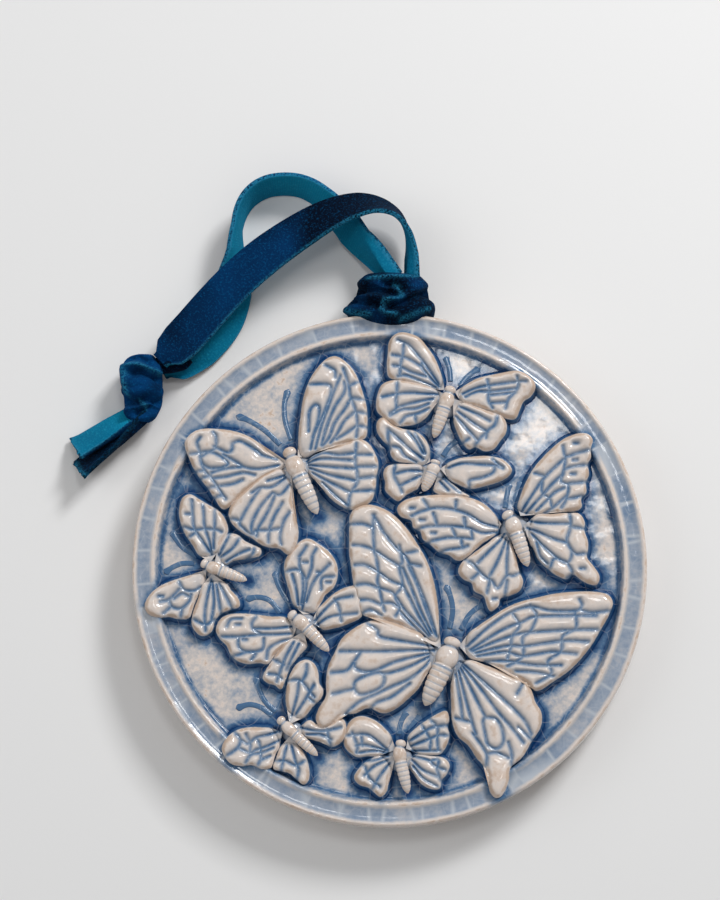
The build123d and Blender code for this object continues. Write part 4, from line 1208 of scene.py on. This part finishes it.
def ribbon_piece(name, line, tilts, pinches, brushed_sheen, curl=0.0, ragged=0.0, pale_edge=1.0,
                 ribbed=True):
    """A closed band along a line.

    Its section is a squared oval: across it is half the width times a signed power of cos a, and up it
    is half the thickness times the same power of sin a. Curl lifts its edges by the square of x.
    Where the band is pinched, to a share of its width, it keeps its cloth in waves across the width.
    Brushed sheen is how far its nap is turned, along the line, drawn as a lighter colour of painted sheen.
    Ragged frays the far end, which otherwise draws in. Pale edge is the strength of the selvedges' colour,
    and ribbed says whether the plain side shows ribs or pile.
    """
    stations = len(line)
    across, pile = ribbon_frame(line, tilts)
    share = np.linspace(0, 1, stations)
    pinch = spread(pinches, stations)[:, None]
    if not ragged:
        pinch = pinch * np.sqrt(np.clip((1 - share) / drawn_in, 0.30, 1))[:, None]
    angle = np.linspace(0, 2 * np.pi, section_points, endpoint=False)[None, :]
    x = np.sign(np.cos(angle)) * np.abs(np.cos(angle)) ** section_power
    y = np.sign(np.sin(angle)) * np.abs(np.sin(angle)) ** section_power
    gather = np.sqrt(np.maximum(1 - pinch ** 2, 0)) * gather_height * np.cos(x * 7.0 + 1.0)
    lift = y * ribbon_thickness / 2 + curl * ribbon_width * x ** 2 + gather
    swing = x * (ribbon_width / 2 + selvedge_loops) * pinch
    points = line[:, None, :] + across[:, None, :] * swing[..., None] + pile[:, None, :] * lift[..., None]
    if ragged:
        along = unit(np.gradient(line, axis=0))
        fray = ragged * (0.6 * np.sin(x * 19.0) + 0.4 * np.sin(x * 47.0 + 2.0))
        near_end = np.clip((share[:, None] - fray_start) / (1 - fray_start), 0, 1) ** 2
        points += along[:, None, :] * (fray * near_end)[..., None]
    points[..., 2] = np.maximum(points[..., 2], lying_height + pressed_thickness / 2 * (y + 1))
    run = way_along(line)
    uv = np.stack(np.broadcast_arrays(run[:, None], x * ribbon_width / 2), -1).reshape(-1, 2)
    uv = np.concatenate([uv, [[0, 0], [run[-1], 0]]])
    centres = np.stack([points[0].mean(0), points[-1].mean(0)])
    points = np.concatenate([points.reshape(-1, 3), centres])
    plain = np.tile((np.sin(angle[0] + np.pi / section_points) < -0.1) & ribbed, stations - 1)
    face_material = np.concatenate([plain, np.zeros(2 * section_points, bool)]).astype(int)
    beyond_pile = np.clip((np.abs(x) - 0.88) / 0.06, 0, 1)
    below_pile = np.clip(((0.55 - 0.45 * np.sign(x)) - y) / 0.4, 0, 1)
    selvedge_and_sheen = np.tile((beyond_pile * below_pile * pale_edge)[0], stations)
    cut = np.repeat(np.clip((share - cut_start) / (1 - cut_start), 0, 1) * bool(ragged), section_points)
    sheen_level = np.repeat(spread(brushed_sheen, stations), section_points)
    marks = {
        "brushed_sheen": np.append(sheen_level, [brushed_sheen[0], brushed_sheen[-1]]),
        "selvedge_and_sheen": np.append(selvedge_and_sheen, [0, 0]),
        "cut": np.append(cut, [0, bool(ragged)]),
    }
    faces = closed_faces(stations, section_points)
    return add_mesh(name, points, faces, [velvet, ribbon_back], "ribbon_loop", uv, marks,
                    face_material)


# The two strands of the loop. Their routes are listed points, written in millimetres and turned into
# metres. Tilts are in degrees and pinches are shares of the full width, both set evenly along the strand.
strand_stations = 260
front_route = np.array([
    (3.6, 51.8, 5.8), (3.7, 56.1, 5.9), (3.3, 59.6, 6.4), (1.8, 62.1, 7.4), (-0.6, 63.4, 8.2),
    (-3.7, 63.8, 8.6), (-7.3, 63.1, 8.7), (-11.6, 61.3, 8.5), (-16.8, 58.2, 8.0), (-22.1, 54.5, 7.7),
    (-26.9, 50.2, 7.5), (-30.9, 46.0, 6.8), (-34.9, 41.5, 5.8), (-39.9, 36.4, 5.0),
]) / 1000
front_tilts = (-106, -103, -88, -66, -46, -34, -24, -17, -12, -12, -13, -14, -14, -18)
front_pinches = (0.80, 0.95, 1, 1, 1, 1, 1, 1, 1, 1, 1.02, 1.04, 1.04, 0.84)
# Brushed sheen sets where along each strand the pile shows painted sheen.
front_brushed_sheen = (0.3, 0.1, 0.0, 0.0, 0.0, 0.2, 0.5, 0.7, 0.5)
back_route = np.array([
    (-1.1, 53.0, 5.6), (-2.9, 55.4, 4.9), (-5.4, 58.2, 4.1), (-8.5, 62.4, 3.2), (-12.0, 66.4, 3.1),
    (-15.2, 68.2, 3.4), (-18.4, 68.6, 3.6), (-21.6, 68.2, 3.7), (-24.3, 66.6, 3.8), (-26.0, 64.1, 3.9),
    (-26.8, 60.9, 3.9), (-27.0, 57.5, 3.6), (-27.0, 54.1, 2.8), (-27.5, 50.4, 2.2), (-28.3, 47.0, 2.0),
    (-29.4, 44.1, 2.0), (-31.5, 41.3, 2.0), (-34.6, 38.3, 2.1), (-39.8, 34.9, 2.6),
]) / 1000
back_tilts = (238, 241, 241, 233, 239, 249, 253, 255, 257, 261, 264, 254, 228, 206, 200, 198, 196, 194, 190)
back_pinches = (0.50, 0.80, 1, 1, 1, 1, 1, 1, 1, 1, 1, 1, 1, 1, 1, 1, 1, 0.9, 0.62)
back_brushed_sheen = (0.4, 0.9, 1.0, 0.6, 0.3, 0.3, 0.5, 0.3)
strand_curl = 0.03
front_tuck = 0.0009
back_tuck = 0.0032


def tucked(line, depth):
    """The line with a few places put before its start, so that the ribbon's end is tucked into the knot."""
    step = unit(line[0] - line[1])
    return np.vstack([line[0] + step * np.linspace(depth, 0.1 * depth, 8)[:, None], line])


front_line, front_length = smooth_line(front_route, strand_stations)
back_line, back_length = smooth_line(back_route, strand_stations)
front_strand = ribbon_piece("ribbon_front", tucked(front_line, front_tuck), front_tilts, front_pinches,
                            front_brushed_sheen, curl=strand_curl)
back_strand = ribbon_piece("ribbon_behind", tucked(back_line, back_tuck), back_tilts, back_pinches,
                           back_brushed_sheen, curl=strand_curl)
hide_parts("front_strand")
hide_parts("back_strand")


# The knot against the rim and the knot that closes the loop: the same ribbon drawn tight, so its bands
# bulge, creases sink between them, and the pale selvedge shows along the edge of a band. On the end knot
# the pale lines are fold ridges coloured with painted sheen. Sections are written in millimetres, and
# creases, selvedges and sheen ridges are lines on the photograph, in its pixels.
rim_knot_sections = np.array([
    (0.45, 41.7, 6.0, 1.4, 0.9), (0.50, 42.0, 6.0, 3.0, 2.2), (0.45, 42.8, 6.0, 5.2, 3.6),
    (0.30, 43.8, 6.0, 7.0, 4.8), (0.20, 44.5, 6.0, 7.7, 5.4), (0.20, 45.3, 6.0, 7.85, 5.7),
    (0.35, 46.3, 6.0, 7.3, 5.6), (0.60, 47.4, 6.0, 6.5, 5.2), (0.70, 48.6, 5.9, 6.2, 4.9),
    (0.70, 49.8, 5.8, 5.9, 4.4), (0.75, 50.8, 5.8, 5.3, 3.7), (0.80, 51.4, 5.7, 4.8, 2.6),
    (0.80, 51.7, 5.7, 4.0, 1.2),
]) / 1000
rim_knot_creases_px = [
    [(356, 293), (370, 293), (384, 295), (399, 299)],
    [(350, 303), (362, 307), (377, 309)],
    [(391, 312), (404, 309), (417, 303), (429, 295)],
    [(404, 294), (396, 289), (384, 288)],
]
rim_knot_selvedges_px = [
    [(371, 281), (385, 280), (400, 279), (416, 278)],
    [(396, 288), (402, 293), (402, 301), (391, 304), (383, 309), (384, 316), (396, 319)],
    [(401, 324), (414, 319), (428, 313)],
    [(348, 312), (358, 317), (372, 319)],
]
end_knot_sections = np.array([
    (-43.0, 37.9, 4.3, 1.2, 0.8), (-43.3, 37.6, 4.3, 2.0, 1.6), (-43.5, 37.0, 4.2, 2.7, 2.5),
    (-43.5, 36.0, 4.2, 3.3, 3.1), (-43.4, 34.6, 4.1, 3.55, 3.3), (-43.3, 32.8, 4.0, 3.5, 3.2),
    (-43.2, 31.0, 3.9, 3.45, 3.1), (-43.2, 29.2, 3.8, 3.3, 2.9), (-43.4, 27.8, 3.7, 2.95, 2.7),
    (-43.5, 26.7, 3.6, 2.4, 2.1), (-43.5, 26.0, 3.6, 1.5, 1.2),
]) / 1000
end_knot_creases_px = [
    [(124, 358), (136, 358), (150, 363)],
    [(129, 374), (140, 373), (152, 377), (161, 380)],
    [(122, 401), (134, 404), (146, 400), (158, 403)],
    [(133, 413), (145, 411), (154, 408)],
]
# The end knot's pale lines: fold ridges, coloured with painted sheen.
end_knot_sheen_ridges_px = [
    [(122, 365), (132, 364), (142, 366), (152, 371), (160, 374)],
    [(122, 369), (124, 382), (127, 396)],
    [(138, 402), (144, 406), (148, 409)],
]
end_knot_neck = np.array([
    (-36.9, 38.7, 4.0, 3.2, 0.9), (-37.9, 37.6, 4.0, 3.2, 1.3), (-39.1, 36.6, 4.0, 2.3, 1.4),
    (-40.5, 35.9, 4.0, 1.5, 1.3), (-42.0, 35.6, 4.0, 1.3, 1.2),
]) / 1000
knot_plan_centre_px = (389.4, 571.0)
knot_plan_scale = 0.0445 / 256.5
knot_spacing = 0.00012
knot_line_spacing = 0.0001
knot_columns = 110
knot_squareness = 0.82
neck_columns = 60
crease_depth = 0.0016
crease_half_width = 0.0007
band_bulge = 0.0004
bulge_from_crease = 0.0019
bulge_half_width = 0.0010
ridge_height = 0.00035
ridge_half_width = 0.0004


def knot_plan(pixels):
    """Pixels of the photograph as metres in plan at the height of the ribbon."""
    return (np.asarray(pixels, float) - knot_plan_centre_px) * (1, -1) * knot_plan_scale


def knot_piece(name, sections, creases_px, selvedge_and_sheen_px, body, painted_sheen, neck=None):
    """A bundle of ribbon: each section is a place, a half width and a half height.

    Its upper side sinks at a crease by a bell curve of the distance to its line, bulges beside it, and
    stands out in a narrow ridge along each pale line, coloured pale: a real selvedge on the rim knot and
    painted sheen along the fold ridges of the end knot. Painted sheen is how far the pile is turned, give or
    take a slow wave, drawn as a lighter colour of painted sheen. The neck is a second, smaller bundle, where
    the ribbon gathers into the first.
    """
    along = even_places(curve_through(sections), knot_spacing)
    points = lump(along[:, :3], along[:, 3], along[:, 4], knot_columns, knot_squareness, bent=False)
    centre = np.concatenate([np.repeat(along[:, :3], knot_columns, axis=0), along[:1, :3], along[-1:, :3]])
    above = np.clip((points[:, 2] - centre[:, 2]) / 0.001, 0, 1)
    creases, selvedge_and_sheen_lines = (
        np.vstack([even_places(curve_through(knot_plan(line)), knot_line_spacing) for line in lines_px])
        for lines_px in (creases_px, selvedge_and_sheen_px))
    to_crease = nearest_distance(points[:, :2], creases)
    to_pale_line = nearest_distance(points[:, :2], selvedge_and_sheen_lines)
    sink = (crease_depth * np.exp(-(to_crease / crease_half_width) ** 2)
            - band_bulge * np.exp(-((to_crease - bulge_from_crease) / bulge_half_width) ** 2))
    edge = np.exp(-(to_pale_line / ridge_half_width) ** 2)
    points += unit(centre - points) * ((sink - ridge_height * edge) * above)[:, None]
    marks = {
        # A real selvedge on the rim knot, painted sheen along the end knot's fold ridges.
        "selvedge_and_sheen": 0.8 * edge * above,
        "cut": np.zeros(len(points)),
        # The pile's turn, a slow wave about the given share, is painted sheen.
        "brushed_sheen": painted_sheen + 0.35 * np.sin(points[:, 0] * 900) * np.sin(points[:, 1] * 1100 + 1.0),
    }
    faces = closed_faces(len(along), knot_columns)
    if neck is not None:
        gather = even_places(curve_through(neck), knot_spacing)
        gathered = lump(gather[:, :3], gather[:, 3], gather[:, 4], neck_columns)
        faces += [[i + len(points) for i in face] for face in closed_faces(len(gather), neck_columns)]
        points = np.vstack([points, gathered])
        marks = {mark: np.append(values, np.zeros(len(gathered))) for mark, values in marks.items()}
    return add_mesh(name, points, faces, [velvet], body, points[:, :2], marks)


# The last number of each knot is how much painted sheen it shows.
rim_knot = knot_piece("ribbon_knot", rim_knot_sections, rim_knot_creases_px, rim_knot_selvedges_px,
                      "ornament", 0.5)
end_knot = knot_piece("ribbon_end_knot", end_knot_sections, end_knot_creases_px, end_knot_sheen_ridges_px,
                      "ribbon_loop", 0.8, end_knot_neck)
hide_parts("rim_knot")
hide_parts("end_knot")


# The two cut ends past the end knot, of the same ribbon. One shows its ribbed side and the other its pile,
# and both are frayed where they were cut.
light_route = np.array([(-45.3, 27.0, 3.6), (-49.9, 24.4, 3.5), (-54.9, 21.4, 3.4)]) / 1000
light_tilts = (130, 130, 132)
light_pinches = (0.5, 0.9, 1.0)
dark_route = np.array([(-42.7, 28.0, 3.3), (-48.4, 22.8, 3.0), (-54.3, 17.6, 2.9)]) / 1000
dark_tilts = (-60, -58, -56)
dark_pinches = (0.5, 0.95, 1.0)
light_stations = 70
dark_stations = 90
fray_length = 0.0004
light_line = smooth_line(light_route, light_stations)[0]
dark_line = smooth_line(dark_route, dark_stations)[0]
# The pair after the pinches is the brushed sheen: painted sheen along each end.
light_tail = ribbon_piece("ribbon_light_end", light_line, light_tilts, light_pinches,
                          (0.8, 0.8), ragged=fray_length)
dark_tail = ribbon_piece("ribbon_dark_end", dark_line, dark_tilts, dark_pinches, (0.2, 0.0),
                         ragged=fray_length, pale_edge=0.1, ribbed=False)
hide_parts("light_tail")
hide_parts("dark_tail")


# The ribbon inside the medallion, from one hole of the foot ring to the other. It stays the CAD piece, with
# the same velvet on it.
bridge = bpy.data.objects["ribbon_bridge"]
bridge.data.materials.clear()
bridge.data.materials.append(velvet)


# Floor and light: a plain pale floor and soft studio light from three sides.
floor_mesh = bpy.data.meshes.new("floor")
reach = 3.0
floor_mesh.from_pydata([(-reach, -reach, 0), (reach, -reach, 0), (reach, reach, 0), (-reach, reach, 0)], [],
                       [(0, 1, 2, 3)])
floor = bpy.data.objects.new("floor", floor_mesh)
bpy.context.scene.collection.objects.link(floor)
floor_mesh.materials.append(plain_material("floor", (0.80, 0.80, 0.80))[0])


def soft_box(name, place, size, power):
    """A square area light that faces the ornament."""
    light = bpy.data.lights.new(name, "AREA")
    light.size = size
    light.energy = power
    lamp = bpy.data.objects.new(name, light)
    lamp.location = place
    lamp.rotation_euler = (Vector((0, 0, 0)) - Vector(place)).to_track_quat("-Z", "Y").to_euler()
    bpy.context.scene.collection.objects.link(lamp)


soft_box("key", (0.40, 0.55, 0.55), 0.22, 5.0)
soft_box("fill", (-0.60, 0.05, 0.55), 0.60, 1.2)
soft_box("window", (0.07, 0.15, 0.60), 0.11, 0.35)
world = bpy.data.worlds.new("world")
world.use_nodes = True
background = world.node_tree.nodes["Background"]
background.inputs["Color"].default_value = (1, 1, 1, 1)
background.inputs["Strength"].default_value = 0.33
bpy.context.scene.world = world
bpy.context.scene.view_settings.view_transform = "Standard"
